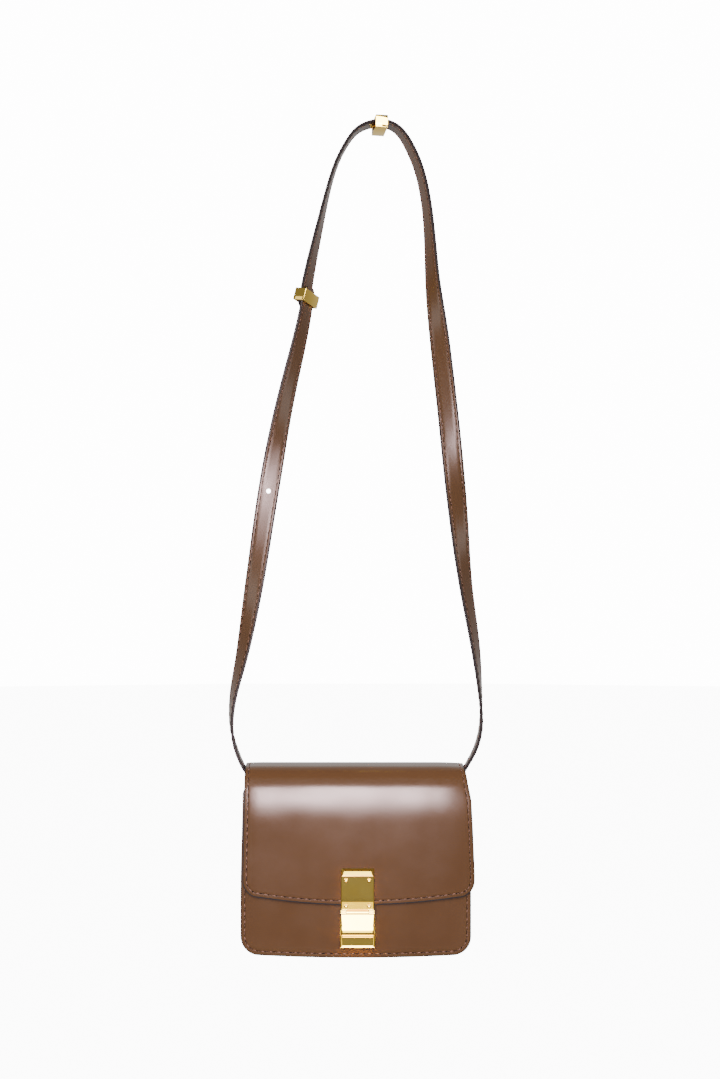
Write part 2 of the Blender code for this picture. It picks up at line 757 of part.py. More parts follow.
# A metal loop round the strap, open along it, a little tilted in its slack
def strap_loop(name, frame, lift):
    _, along, across, face = frame
    turned_across = across * math.cos(LOOP_TILT) - along * math.sin(LOOP_TILT)
    turned_along = along * math.cos(LOOP_TILT) + across * math.sin(LOOP_TILT)
    bm = bmesh.new()
    outside = (LOOP_INSIDE_WIDTH + 2 * LOOP_WALL, LOOP_LENGTH, LOOP_INSIDE_DEPTH + 2 * LOOP_WALL)
    bmesh.ops.create_cube(bm, size=1.0, matrix=Matrix.Diagonal((*outside, 1.0)))
    bm.normal_update()
    ends = [side for side in bm.faces if abs(side.normal.y) > 0.5]
    bmesh.ops.delete(bm, geom=ends, context="FACES_ONLY")
    obj = place(name, bm, gold(name), bag)
    turn = Matrix((turned_across, turned_along, face)).transposed().to_4x4()
    obj.matrix_world = Matrix.Translation(frame[0] + face * lift) @ turn
    thicken(obj, LOOP_WALL, outwards=False)
    round_edges(obj, METAL_BEVEL, 1)


def strap_metal(path):
    buckle = strap_frame(path, length_at_drop(path, BUCKLE_DROP))
    strap_loop("strap_buckle", buckle, 0.0)
    top = int(np.argmax(path[1][:, 1]))
    apex = strap_frame(path, float(path[0][top]))
    strap_loop("strap_keeper", apex, LOOP_INSIDE_DEPTH / 2 - STRAP_THICKNESS / 2 - LOOP_REST)
    position, _, _, face = buckle
    reach = LAYER_STEP / 2 + STRAP_THICKNESS / 2 + GAP
    half = reach + STUD_HEAD / 2
    shaft = rod(position - face * half, position + face * half, STUD_RADIUS, 12)
    stud = place("strap_stud", shaft, gold("strap_stud"), bag)
    for side, name in ((-1, "outer_head"), (1, "inner_head")):
        inner = position + face * side * reach
        head = rod(inner, inner + face * side * STUD_HEAD, STUD_HEAD_RADIUS, 16)
        join(stud, place_cutter(name, head))


clear_scene()
bag = collection("box_bag")
cutters = collection("cutters")
cutter_finish = material("cutter", (0.5, 0.5, 0.5), 0.5, 0.0)

front_panel()
back_panel()
gusset()
flap()

pin_bore = hinge_bore()
clasp_plate(pin_bore)
clasp_screws()
clasp_hinge_pin()
clasp_lever(pin_bore)
clasp_catch()

strap_line = strap_path()
straps(strap_line)
strap_metal(strap_line)
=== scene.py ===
import json
import math

import bmesh
import bpy
import numpy as np
from mathutils import Matrix, Vector

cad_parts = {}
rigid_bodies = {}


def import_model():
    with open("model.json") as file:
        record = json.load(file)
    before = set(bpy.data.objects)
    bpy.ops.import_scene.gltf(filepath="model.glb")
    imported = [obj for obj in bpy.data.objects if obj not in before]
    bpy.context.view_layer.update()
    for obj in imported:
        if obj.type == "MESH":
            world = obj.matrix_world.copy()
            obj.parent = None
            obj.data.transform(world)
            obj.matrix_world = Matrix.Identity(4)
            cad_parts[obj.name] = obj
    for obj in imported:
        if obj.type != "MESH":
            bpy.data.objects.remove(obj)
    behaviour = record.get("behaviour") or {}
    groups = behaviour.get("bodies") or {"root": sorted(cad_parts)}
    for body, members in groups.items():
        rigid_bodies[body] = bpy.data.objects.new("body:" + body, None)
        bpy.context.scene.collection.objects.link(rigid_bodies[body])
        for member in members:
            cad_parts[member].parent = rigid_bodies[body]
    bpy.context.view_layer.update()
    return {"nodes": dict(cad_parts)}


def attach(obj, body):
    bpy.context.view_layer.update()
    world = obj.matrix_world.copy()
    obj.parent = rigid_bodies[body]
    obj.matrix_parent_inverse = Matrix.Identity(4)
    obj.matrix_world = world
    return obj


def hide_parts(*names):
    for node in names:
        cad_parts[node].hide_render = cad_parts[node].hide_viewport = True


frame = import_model()
nodes = frame["nodes"]

# A small box bag hanging by its strap: smooth calf, gold clasp and loops.
# Metres, the hang point is at the origin, the bag's front faces -Y.

bag = {
    "bottom": -0.665,  # the bag's lowest point, heights are counted from it
    "offset": -0.0190,  # its middle, across
    "gap": 0.0003,  # between parts that lie on each other
    "frontFace": -0.0230,
    "backFace": 0.0230,
    "leanHeight": 0.1094,  # the front leans back above this
    "leanRadius": 0.2000,
}


# ---- camera, lights and floor

studio = {
    "cameraPlace": (-0.0157, -1.525, -0.334),
    "lens": 63.35,
    "floorHeight": -1.05,
    "domeRadius": 8,
    "floorHalf": 9,
    # how bright the surroundings are, by direction from front (0) to back (1)
    "around": ((0.00, 0.28), (0.50, 0.28), (0.75, 0.50), (1.00, 0.80)),
    "paper": 14.0,  # how white the backdrop looks
    "floorShare": 0.8,  # of the backdrop's white
    "rose": (1.0, 0.77, 0.79),
    "frontDepth": -2.2,
    # the front softbox in bands: lowest, highest, brightness of its left and right half
    "frontBands": ((-0.535, -0.225, 56, 42), (-0.640, -0.535, 17, 12), (-0.740, -0.640, 5, 4)),
    "frontReach": (-0.255, -0.030, 0.185),
    # what the short strap mirrors beside it: from, to, brightness
    "strapSheen": ((-1.50, -0.70, 9), (-0.70, -0.255, 26), (0.185, 0.70, 22), (0.70, 1.50, 8)),
    "sheenHeight": -0.28,
    "sheenTall": 0.60,
    # cards that only the gold mirrors: place, aim, width, height, brightness, colour
    "cards": {
        "highCard": ((-0.02, -1.6, 0.42), (-0.02, 0, 0.42), 1.0, 0.45, 22, (1, 1, 1)),
        "keeperCard": ((0.04, -0.6, 0.33), (0.04, 0, 0), 0.9, 0.26, 22, (1, 1, 1)),
        "plateCard": ((-0.02, -1.6, -0.86), (-0.02, 0, -0.86), 1.0, 0.11, 0.10, (0.96, 1, 1)),
        "warmCard": ((-0.02, -1.6, -0.162), (-0.02, 0, -0.162), 1.0, 0.266, 6.3, (0.97, 0.98, 0.46)),
        "bandCard": ((-0.02, -1.6, -1.030), (-0.02, 0, -1.030), 1.0, 0.123, 2.3, (1, 0.89, 0.04)),
        "lowCard": ((-0.02, -0.45, -1.0), (-0.02, -0.45, 0), 1.0, 1.5, 24, (1, 1, 1)),
    },
}


def makeCamera():
    data = bpy.data.cameras.new("camera")
    data.lens = studio["lens"]
    data.sensor_width = 36
    data.clip_start = 0.05
    cam = bpy.data.objects.new("camera", data)
    cam.location = studio["cameraPlace"]
    cam.rotation_euler = (math.radians(90), 0, 0)
    bpy.context.scene.collection.objects.link(cam)
    bpy.context.scene.camera = cam


def softbox(name, place, aim, width, height, glow, colour=(1, 1, 1)):
    # glow is the brightness of the box's face
    data = bpy.data.lights.new(name, "AREA")
    data.shape = "RECTANGLE"
    data.size = width
    data.size_y = height
    data.energy = glow * math.pi * width * height
    data.color = colour
    lamp = bpy.data.objects.new(name, data)
    lamp.location = place
    lamp.rotation_euler = (Vector(aim) - Vector(place)).to_track_quat("-Z", "Y").to_euler()
    lamp.visible_camera = False
    bpy.context.scene.collection.objects.link(lamp)
    return lamp


def mirrorOnly(lamp, pieces=None):
    # a light that is seen in shiny faces and lights nothing else
    lamp.visible_diffuse = False
    lamp.data.cycles.max_bounces = 0
    if pieces:
        lamp.light_linking.receiver_collection = pieces


def makeStudio(goldPieces, sheenPieces):
    world = bpy.data.worlds.new("studio")
    world.use_nodes = True
    tree = world.node_tree
    coords = tree.nodes.new("ShaderNodeTexCoord")
    split = tree.nodes.new("ShaderNodeSeparateXYZ")
    shift = tree.nodes.new("ShaderNodeMapRange")
    shift.inputs["From Min"].default_value = -1
    ramp = tree.nodes.new("ShaderNodeValToRGB")
    top = max(level for place, level in studio["around"])
    elements = ramp.color_ramp.elements
    for place, level in studio["around"][1:-1]:
        elements.new(place)
    for element, (place, level) in zip(elements, studio["around"]):
        element.position = place
        element.color = (level / top, level / top, level / top, 1)
    tree.links.new(coords.outputs["Generated"], split.inputs["Vector"])
    tree.links.new(split.outputs["Y"], shift.inputs["Value"])
    tree.links.new(shift.outputs["Result"], ramp.inputs["Fac"])
    tree.links.new(ramp.outputs["Color"], tree.nodes["Background"].inputs["Color"])
    tree.nodes["Background"].inputs["Strength"].default_value = top
    bpy.context.scene.world = world

    # what the calf mirrors: a soft rosy box in front, brighter at its left
    left, middle, right = studio["frontReach"]
    depth, rose = studio["frontDepth"], studio["rose"]
    for band, (low, high, leftGlow, rightGlow) in enumerate(studio["frontBands"]):
        for side, start, end, glow in (("Left", left, middle, leftGlow), ("Right", middle, right, rightGlow)):
            x, z = (start + end) / 2, (low + high) / 2
            mirrorOnly(softbox(f"front{side}{band}", (x, depth, z), (x, 0, z), end - start, high - low,
                               glow, rose))
    for side, (start, end, glow) in enumerate(studio["strapSheen"]):
        x, z = (start + end) / 2, studio["sheenHeight"]
        lamp = softbox(f"sheen{side}", (x, depth, z), (x, 0, z), end - start, studio["sheenTall"], glow, rose)
        mirrorOnly(lamp, sheenPieces)
    softbox("keyBox", (-0.25, -1.55, 0.19), (-0.02, 0, -0.6), 1.0, 0.8, 11.4).visible_glossy = False
    softbox("leftBox", (-1.7, -0.9, -0.2), (0, 0, -0.4), 0.7, 1.6, 1.7)
    softbox("rightBox", (1.7, -0.7, -0.2), (0, 0, -0.4), 0.7, 1.6, 1.7)
    for name, card in studio["cards"].items():
        mirrorOnly(softbox(name, *card), goldPieces)

    # a white paper dome and a pale floor, which light nothing themselves
    bm = bmesh.new()
    bmesh.ops.create_icosphere(bm, subdivisions=4, radius=studio["domeRadius"])
    stagePiece("paperDome", bm, paperFinish("whitePaper", (0.9, 0.9, 0.9), studio["paper"]))
    bm = bmesh.new()
    bmesh.ops.create_grid(bm, x_segments=1, y_segments=1, size=studio["floorHalf"],
                          matrix=Matrix.Translation((0, 0, studio["floorHeight"])))
    stagePiece("floor", bm, paperFinish("paleFloor", (0.86, 0.86, 0.86),
                                        studio["paper"] * studio["floorShare"]))


def stagePiece(name, bm, look):
    mesh = bpy.data.meshes.new(name)
    bm.to_mesh(mesh)
    bm.free()
    mesh.materials.append(look)
    piece = bpy.data.objects.new(name, mesh)
    piece.visible_glossy = False
    piece.visible_diffuse = False
    piece.visible_shadow = False
    bpy.context.scene.collection.objects.link(piece)


def paperFinish(name, colour, glow):
    made = plainFinish(name, colour, 0.8)
    shader = made.node_tree.nodes["Principled BSDF"]
    shader.inputs["Specular IOR Level"].default_value = 0
    shader.inputs["Emission Color"].default_value = (1, 1, 1, 1)
    shader.inputs["Emission Strength"].default_value = glow
    return made


# ---- finishes

def plainFinish(name, colour, roughness):
    made = bpy.data.materials.new(name)
    made.use_nodes = True
    shader = made.node_tree.nodes["Principled BSDF"]
    shader.inputs["Base Color"].default_value = (*colour, 1)
    shader.inputs["Roughness"].default_value = roughness
    return made


def texture(tree, scale, detail, kind="Noise", output="Fac"):
    node = tree.nodes.new("ShaderNodeTex" + kind)
    node.inputs["Scale"].default_value = scale
    node.inputs["Detail"].default_value = detail
    coords = tree.nodes.get("Texture Coordinate") or tree.nodes.new("ShaderNodeTexCoord")
    tree.links.new(coords.outputs["Object"], node.inputs["Vector"])
    return node.outputs[output]


def spreadRoughness(tree, value, low, high):
    node = tree.nodes.new("ShaderNodeMapRange")
    for socket, level in (("From Min", 0.3), ("From Max", 0.7), ("To Min", low), ("To Max", high)):
        node.inputs[socket].default_value = level
    tree.links.new(value, node.inputs["Value"])
    tree.links.new(node.outputs["Result"], tree.nodes["Principled BSDF"].inputs["Roughness"])


def twoTone(tree, value, first, second):
    ramp = tree.nodes.new("ShaderNodeValToRGB")
    for element, position, colour in zip(ramp.color_ramp.elements, (0.35, 0.65), (first, second)):
        element.position = position
        element.color = (*colour, 1)
    tree.links.new(value, ramp.inputs["Fac"])
    tree.links.new(ramp.outputs["Color"], tree.nodes["Principled BSDF"].inputs["Base Color"])


def addBump(tree, height, strength, distance):
    # lies over the bumps that are already there
    node = tree.nodes.new("ShaderNodeBump")
    node.inputs["Strength"].default_value = strength
    node.inputs["Distance"].default_value = distance
    tree.links.new(height, node.inputs["Height"])
    normal = tree.nodes["Principled BSDF"].inputs["Normal"]
    if normal.is_linked:
        tree.links.new(normal.links[0].from_socket, node.inputs["Normal"])
    tree.links.new(node.outputs["Normal"], normal)


calf = {
    "brown": (0.134, 0.0555, 0.0185),
    "redder": (0.147, 0.0625, 0.0225),
    "glossLow": 0.165,
    "glossHigh": 0.195,
    "specular": 0.62,
}


def smoothCalf(name, depth=1.0, dull=0.0):
    # depth darkens the brown, dull makes it rougher
    first, second = (tuple(part * depth for part in calf[tone]) for tone in ("brown", "redder"))
    made = plainFinish(name, first, 0.19)
    tree = made.node_tree
    tree.nodes["Principled BSDF"].inputs["Specular IOR Level"].default_value = calf["specular"]
    twoTone(tree, texture(tree, 14, 4), first, second)
    spreadRoughness(tree, texture(tree, 55, 3), calf["glossLow"] + dull, calf["glossHigh"] + dull)
    # pores, grain and the slow waves of the hide
    addBump(tree, texture(tree, 1500, 2, "Voronoi", "Distance"), 0.02, 0.0002)
    addBump(tree, texture(tree, 700, 3), 0.025, 0.0003)
    addBump(tree, texture(tree, 22, 1), 0.5, 0.0011)
    return made


def paintedEdge():
    made = plainFinish("paintedEdge", (0.026, 0.018, 0.018), 0.40)
    tree = made.node_tree
    tree.nodes["Principled BSDF"].inputs["Specular IOR Level"].default_value = 0.30
    waves = texture(tree, 260, 2)
    spreadRoughness(tree, waves, 0.34, 0.48)
    addBump(tree, waves, 0.04, 0.0004)
    return made


def polishedGold():
    made = plainFinish("polishedGold", (0.90, 0.600, 0.115), 0.04)
    tree = made.node_tree
    tree.nodes["Principled BSDF"].inputs["Metallic"].default_value = 1.0
    spreadRoughness(tree, texture(tree, 320, 5), 0.030, 0.055)
    twoTone(tree, texture(tree, 90, 2), (0.90, 0.600, 0.115), (0.93, 0.635, 0.140))
    addBump(tree, texture(tree, 110, 1), 0.002, 0.0005)
    return made


def waxedThread():
    made = plainFinish("waxedThread", (0.33, 0.15, 0.115), 0.55)
    tree = made.node_tree
    twist = texture(tree, 2600, 2)
    twoTone(tree, twist, (0.33, 0.15, 0.115), (0.50, 0.25, 0.20))
    addBump(tree, twist, 0.3, 0.0002)
    return made


# near-black discs at the stitch ends: painted shade standing in for the dark inside the needle holes
def paintedHoleShade():
    made = plainFinish("paintedHoleShade", (0.030, 0.011, 0.008), 0.8)
    tree = made.node_tree
    twoTone(tree, texture(tree, 1200, 2), (0.030, 0.011, 0.008), (0.050, 0.019, 0.014))
    return made


# ---- shared steps

def placePiece(name, bm, looks, body, slot, *replaced):
    mesh = bpy.data.meshes.new(name)
    bm.to_mesh(mesh)
    bm.free()
    for look in looks:
        mesh.materials.append(look)
    mesh.shade_smooth()
    piece = bpy.data.objects.new(name, mesh)
    bpy.context.scene.collection.objects.link(piece)
    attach(piece, body)
    if replaced:
        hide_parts(*replaced)
    return piece


def addWall(piece, thickness, group=""):
    wall = piece.modifiers.new("wall", "SOLIDIFY")
    wall.thickness = thickness
    wall.offset = -1
    wall.use_even_offset = True
    wall.material_offset_rim = 1
    wall.vertex_group = group


def roundRim(piece, width):
    soft = piece.modifiers.new("roundRim", "BEVEL")
    soft.width = width
    soft.segments = 3
    soft.limit_method = "ANGLE"
    soft.angle_limit = math.radians(40)
    soft.harden_normals = True


def crossCut(bm, axis, positions):
    # cuts the whole mesh across one axis at each position
    direction = Vector((axis == 0, axis == 1, axis == 2))
    for position in positions:
        bmesh.ops.bisect_plane(bm, geom=bm.verts[:] + bm.edges[:] + bm.faces[:], dist=1e-6,
                               plane_co=direction * position, plane_no=direction)


def frontLean(height):
    lean = max(0.0, height - bag["leanHeight"])
    return bag["frontFace"] + lean * lean / (2 * bag["leanRadius"])


# ---- stitching

stitch = {
    "inset": 0.0033,
    "pitch": 0.00325,
    # half of one stitch, and half of one hole's dark disc, painted shade: length, width, height
    "thread": (0.00128, 0.00042, 0.00032),
    "hole": (0.00030, 0.00027, 0.00008),
    "slant": math.radians(10),
    "lift": 0.00006,
}


def setting(place, along, normal, length, width, height):
    # the matrix that sets a unit part on its place, turned and scaled
    turn = Matrix((along, normal.cross(along), normal)).transposed().to_4x4()
    return Matrix.Translation(place) @ turn @ Matrix.Diagonal((length, width, height, 1))


def sewAlong(bm, line, closed=False):
    # line holds places and outward normals, each pitch gets one stitch and one dark disc that paints the
    # shade of a needle hole
    points = [place for place, normal in line]
    if closed:
        line = line + line[:1]
        points = points + points[:1]
    travelled = [0.0]
    for here, after in zip(points, points[1:]):
        travelled.append(travelled[-1] + (after - here).length)
    count = max(1, round(travelled[-1] / stitch["pitch"]))
    pitch = travelled[-1] / count
    step = 0

    def at(distance):
        nonlocal step
        while step < len(travelled) - 2 and travelled[step + 1] < distance:
            step += 1
        share = (distance - travelled[step]) / max(1e-9, travelled[step + 1] - travelled[step])
        place = points[step].lerp(points[step + 1], share)
        normal = line[step][1].lerp(line[step + 1][1], share).normalized()
        return place, normal, (points[step + 1] - points[step]).normalized()

    # one stitch and one dark disc of painted hole shade, doubled until there are enough, then each is set in
    # its place
    part = bmesh.new()
    thread = bmesh.ops.create_uvsphere(part, u_segments=6, v_segments=5, radius=1,
                                       matrix=Matrix.Rotation(math.radians(90), 4, "Y"))["verts"]
    # the hole part is a dark disc on the surface, painted shade for the needle hole
    hole = bmesh.ops.create_uvsphere(part, u_segments=6, v_segments=4, radius=1)["verts"]
    for face in {face for vert in hole for face in vert.link_faces}:
        face.material_index = 1
    threadSize, partSize = len(thread), len(part.verts)
    while len(part.verts) < count * partSize:
        bmesh.ops.duplicate(part, geom=part.verts[:] + part.edges[:] + part.faces[:])
    part.verts.ensure_lookup_table()
    bmesh.ops.delete(part, geom=part.verts[count * partSize:], context="VERTS")
    part.verts.ensure_lookup_table()
    for index in range(count):
        place, normal, along = at((index + 0.5) * pitch)
        slanted = along * math.cos(stitch["slant"]) + normal.cross(along) * math.sin(stitch["slant"])
        setThread = setting(place + normal * stitch["lift"], slanted, normal, *stitch["thread"])
        place, normal, along = at((index + 1) * pitch)
        setHoleShade = setting(place, along, normal, *stitch["hole"])
        for number, vert in enumerate(part.verts[index * partSize:(index + 1) * partSize]):
            vert.co = (setThread if number < threadSize else setHoleShade) @ vert.co
    sewn = bpy.data.meshes.new("sewn")
    part.to_mesh(sewn)
    part.free()
    bm.from_mesh(sewn)
    bpy.data.meshes.remove(sewn)


# ---- leather sheets

# rings along a sheet's edge, and how deep the sewing presses the calf at each
sheetEdge = {
    "rings": (0.0008, 0.0014, 0.0024, 0.0029, 0.0033, 0.0037, 0.0042, 0.0055),
    "distance": (0.0, 0.0008, 0.0014, 0.0024, 0.0029, 0.0033, 0.0037, 0.0042, 0.0055),
    "pressed": (0.00002, 0.00001, 0.0, 0.0, 0.00002, 0.00004, 0.00002, 0.0, 0.0),
}


def cutSheet(halfWidth, low, high, lowCorner, highCorner, sag):
    # a flat sheet with round corners, cut in rings along its edge
    bm = bmesh.new()
    bmesh.ops.create_grid(bm, x_segments=1, y_segments=1, size=1.0)
    for vert in bm.verts:
        vert.co = (vert.co.x * halfWidth, low + (vert.co.y + 1) / 2 * (high - low), 0)
    for corner, atLow in ((lowCorner, True), (highCorner, False)):
        if corner > 0:
            ends = [vert for vert in bm.verts if (vert.co.y < (low + high) / 2) == atLow]
            bmesh.ops.bevel(bm, geom=ends, offset=corner, offset_type="OFFSET", segments=9, profile=0.5,
                            affect="VERTICES", material=-1)
    bottom = [edge for edge in bm.edges
              if all(abs(vert.co.y - low) < 1e-6 for vert in edge.verts) and edge.calc_length() > 0.02]
    bmesh.ops.subdivide_edges(bm, edges=bottom, cuts=23)
    straight = halfWidth - lowCorner
    for vert in bm.verts:
        if vert.co.y < low + lowCorner + 1e-6:
            vert.co.y += sag * min(1.0, abs(vert.co.x) / straight) ** 2
    layer = bm.verts.layers.float.new("edgeDistance")
    bm.faces.ensure_lookup_table()
    inner = bm.faces[0]
    done = 0.0
    seam = []
    for distance in sheetEdge["rings"]:
        bmesh.ops.inset_region(bm, faces=[inner], thickness=distance - done,
                               use_even_offset=True, use_boundary=True)
        for vert in inner.verts:
            vert[layer] = distance
        if done == 0.0:
            for side in bm.faces:
                side.material_index = 0 if side == inner else 1
        if abs(distance - stitch["inset"]) < 1e-6:
            seam = [vert.co.copy() for vert in inner.verts]
        done = distance
    return bm, layer, seam


def bendSheet(bm, layer, bend, direction):
    # moves each flat point onto the form, where bend gives its place and normal
    for vert in bm.verts:
        place, normal = bend(vert.co.x, vert.co.y)
        pressed = float(np.interp(vert[layer], sheetEdge["distance"], sheetEdge["pressed"]))
        vert.co = place - normal * pressed
    bmesh.ops.recalc_face_normals(bm, faces=bm.faces)
    bm.normal_update()
    total = sum((face.normal * face.calc_area() for face in bm.faces), Vector())
    if total.dot(Vector(direction)) < 0:
        bmesh.ops.reverse_faces(bm, faces=bm.faces)


def sewSheet(name, seam, bend, looks):
    bm = bmesh.new()
    line = []
    for here, after in zip(seam, seam[1:] + seam[:1]):
        pieces = max(1, round((after - here).length / 0.002))
        for piece in range(pieces):
            spot = here.lerp(after, piece / pieces)
            place, normal = bend(spot.x, spot.y)
            line.append((place - normal * 0.00003, normal))
    sewAlong(bm, line, closed=True)
    return placePiece(name, bm, looks, "bag", "thread")


panel = {
    "halfWidth": 0.09125,
    "corner": 0.0150,
    "topCorner": 0.0080,
    "sag": 0.0020,
    "thickness": 0.0022,
    "frontTop": 0.1369,
    "backTop": 0.1386,
    "narrow": 0.0016,  # each side leans in this far towards the top
    "narrowFrom": 0.0500,
    "narrowRun": 0.0850,
    "rim": 0.0006,
}


def smoothStep(share):
    return share * share * (3 - 2 * share)


def bodyShare(height):
    # of its width at the bottom
    share = min(1.0, max(0.0, (height - panel["narrowFrom"]) / panel["narrowRun"]))
    return 1 - panel["narrow"] * smoothStep(share) / panel["halfWidth"]


def frontBend(x, height):
    x *= bodyShare(height)
    slope = max(0.0, height - bag["leanHeight"]) / bag["leanRadius"]
    normal = Vector((0, -1, slope)).normalized()
    return Vector((bag["offset"] + x, frontLean(height), bag["bottom"] + height)), normal


def backBend(x, height):
    x *= bodyShare(height)
    return Vector((bag["offset"] + x, bag["backFace"], bag["bottom"] + height)), Vector((0, 1, 0))


def makePanels(leather, edge, threadAndHoleShade):
    for name, node, top, bend, side in (
        ("frontLeather", "front_panel", panel["frontTop"], frontBend, -1),
        ("backLeather", "back_panel", panel["backTop"], backBend, 1),
    ):
        bm, layer, seam = cutSheet(panel["halfWidth"], 0.0, top, panel["corner"], panel["topCorner"],
                                   panel["sag"])
        crossCut(bm, 0, [step * 0.010 for step in range(-9, 10)])
        crossCut(bm, 1, [step * 0.008 for step in range(1, 17)])
        bendSheet(bm, layer, bend, (0, side, 0))
        piece = placePiece(name, bm, [leather, edge], "bag", "calf_leather", node)
        addWall(piece, panel["thickness"])
        roundRim(piece, panel["rim"])
        sewSheet(name + "Stitches", seam, bend, threadAndHoleShade)


# ---- gusset

gusset = {
    "wall": 0.0016,
    "flange": 0.0052,
    "bend": 0.0020,
    "edgeInset": 0.0004,
    "top": 0.1274,
    "fold": 0.0040,
    "foldLength": 0.0650,
    "band": 0.0200,  # flat, down the fold's middle
    "turned": 0.0013,  # first step in from the turned edge
    "rim": 0.0004,
}


def gussetRoute(sideSteps=22, cornerSteps=10, bottomSteps=24):
    # the panels' outline from the left top corner to the right one, with inward normals
    half, corner = panel["halfWidth"], panel["corner"]
    cornerX, cornerHeight = half - corner, panel["sag"] + corner
    route = [(-half, gusset["top"] + (cornerHeight - gusset["top"]) * step / sideSteps, 1.0, 0.0)
             for step in range(sideSteps)]
    for step in range(cornerSteps + 1):
        angle = math.pi / 2 * step / cornerSteps
        route.append((-cornerX - corner * math.cos(angle), cornerHeight - corner * math.sin(angle),
                      math.cos(angle), math.sin(angle)))
    for step in range(1, bottomSteps // 2 + 1):
        x = -cornerX * (1 - 2 * step / bottomSteps)
        route.append((x, panel["sag"] * (x / cornerX) ** 2, 0.0, 1.0))
    return route + [(-x, height, -normalX, normalZ) for x, height, normalX, normalZ in route[-2::-1]]


def gussetAcross(height):
    front = frontLean(height) + panel["thickness"] + bag["gap"]
    back = bag["backFace"] - panel["thickness"] - bag["gap"]
    middle = (front + back) / 2
    wall, bend, inset = gusset["flange"], gusset["bend"], gusset["edgeInset"]
    fold = gusset["fold"] * max(0.0, 1 - (gusset["top"] - height) / gusset["foldLength"])
    half = [(front, inset), (front, inset + gusset["turned"]), (front, wall - bend)]
    for angle in (22.5, 45, 67.5, 90):
        turn = math.radians(angle)
        half.append((front + bend * (1 - math.cos(turn)), wall - bend + bend * math.sin(turn)))
    start, end = front + bend, middle - gusset["band"] / 2
    for share in (0.15, 0.35, 0.6, 0.85, 1.0):
        half.append((start + (end - start) * share, wall + fold * smoothStep(share)))
    half.append(((end + middle) / 2, wall + fold))
    return half + [(middle, wall + fold)] + [(front + back - y, inset) for y, inset in reversed(half)]


def makeGusset(leather, edge):
    route = gussetRoute()
    columns = [gussetAcross(height) for x, height, normalX, normalZ in route]
    bm = bmesh.new()
    bmesh.ops.create_grid(bm, x_segments=len(route) - 1, y_segments=len(columns[0]) - 1, size=1.0)
    for vert in bm.verts:
        step = round((vert.co.x + 1) / 2 * (len(route) - 1))
        row = round((vert.co.y + 1) / 2 * (len(columns[0]) - 1))
        x, height, normalX, normalZ = route[step]
        x *= bodyShare(height)
        y, inset = columns[step][row]
        vert.co = (bag["offset"] + x + inset * normalX, y, bag["bottom"] + height + inset * normalZ)
    bm.normal_update()
    lowest = min(bm.faces, key=lambda face: face.calc_center_median().z + 10 * (face.normal.z ** 2 < 0.5))
    if lowest.normal.z > 0:
        bmesh.ops.reverse_faces(bm, faces=bm.faces)
    piece = placePiece("sideLeather", bm, [leather, edge], "bag", "calf_leather", "gusset")
    addWall(piece, gusset["wall"])
    roundRim(piece, gusset["rim"])


# ---- flap

flap = {
    "thickness": 0.0024,
    "halfWidth": 0.0925,
    "edgeHeight": 0.0423,
    "edgeSag": 0.0060,
    "corner": 0.0130,
    "shoulder": 0.0110,
    "rearBend": 0.0090,
    "crown": 0.0008,
    "arcTop": 0.1482,
    "rear": 0.0233,
    "backEdge": 0.1246,
    "rim": 0.0007,
    # side edges: share of the run, left and right reach
    "sideRun": (0.00, 0.33, 0.43, 0.50, 0.62, 0.85, 1.00),
    "leftReach": (0.953, 0.953, 0.954, 0.956, 0.961, 0.969, 0.968),
    "rightReach": (0.931, 0.931, 0.962, 0.988, 1.000, 1.017, 1.016),
    # how the calf rolls off towards its side edges: run and depth
    "rollLeft": (0.0135, 0.0004),
    "rollRight": (0.0230, 0.0008),
    "rollCuts": (0.0075, 0.0100, 0.0130, 0.0160, 0.0190, 0.0220, 0.0250),
    "easing": 0.0090,  # the shoulder eases into the front over this length
    "easingStep": 0.0005,
    "easingFade": 0.0080,
    "topStart": 21,  # the point of the run from which it is eased
}


def flapRun():
    # the inner face in depth and height, from the back edge over the top to the front edge
    top, rear = flap["arcTop"], flap["rear"]
    rearY, rearHeight = rear - flap["rearBend"], top - flap["rearBend"]
    run = [(rear, flap["backEdge"] + (rearHeight - flap["backEdge"]) * share) for share in (0, 0.33, 0.67)]
    for step in range(13):
        angle = math.pi / 2 * step / 12
        run.append((rearY + flap["rearBend"] * math.cos(angle),
                    rearHeight + flap["rearBend"] * math.sin(angle)))
    radius = flap["shoulder"]
    lean = math.asin((top - radius - bag["leanHeight"]) / (bag["leanRadius"] - radius))
    shoulderHeight = top - radius * (1 - math.sin(lean))
    frontY = frontLean(shoulderHeight) - bag["gap"] + radius * math.cos(lean)
    for step in range(1, 12):
        share = step / 12
        lift = flap["crown"] * (1 - (2 * share - 1) ** 2) ** 2
        run.append((rearY + (frontY - rearY) * share, top + lift))
    for step in range(15):
        angle = math.pi / 2 - (math.pi / 2 - lean) * step / 14
        run.append((frontY - radius * math.cos(angle), top - radius + radius * math.sin(angle)))
    for step in range(1, 13):
        height = shoulderHeight + (bag["leanHeight"] - shoulderHeight) * step / 12
        run.append((frontLean(height) - bag["gap"], height))
    run.append((bag["frontFace"] - bag["gap"], flap["edgeHeight"]))
    return run


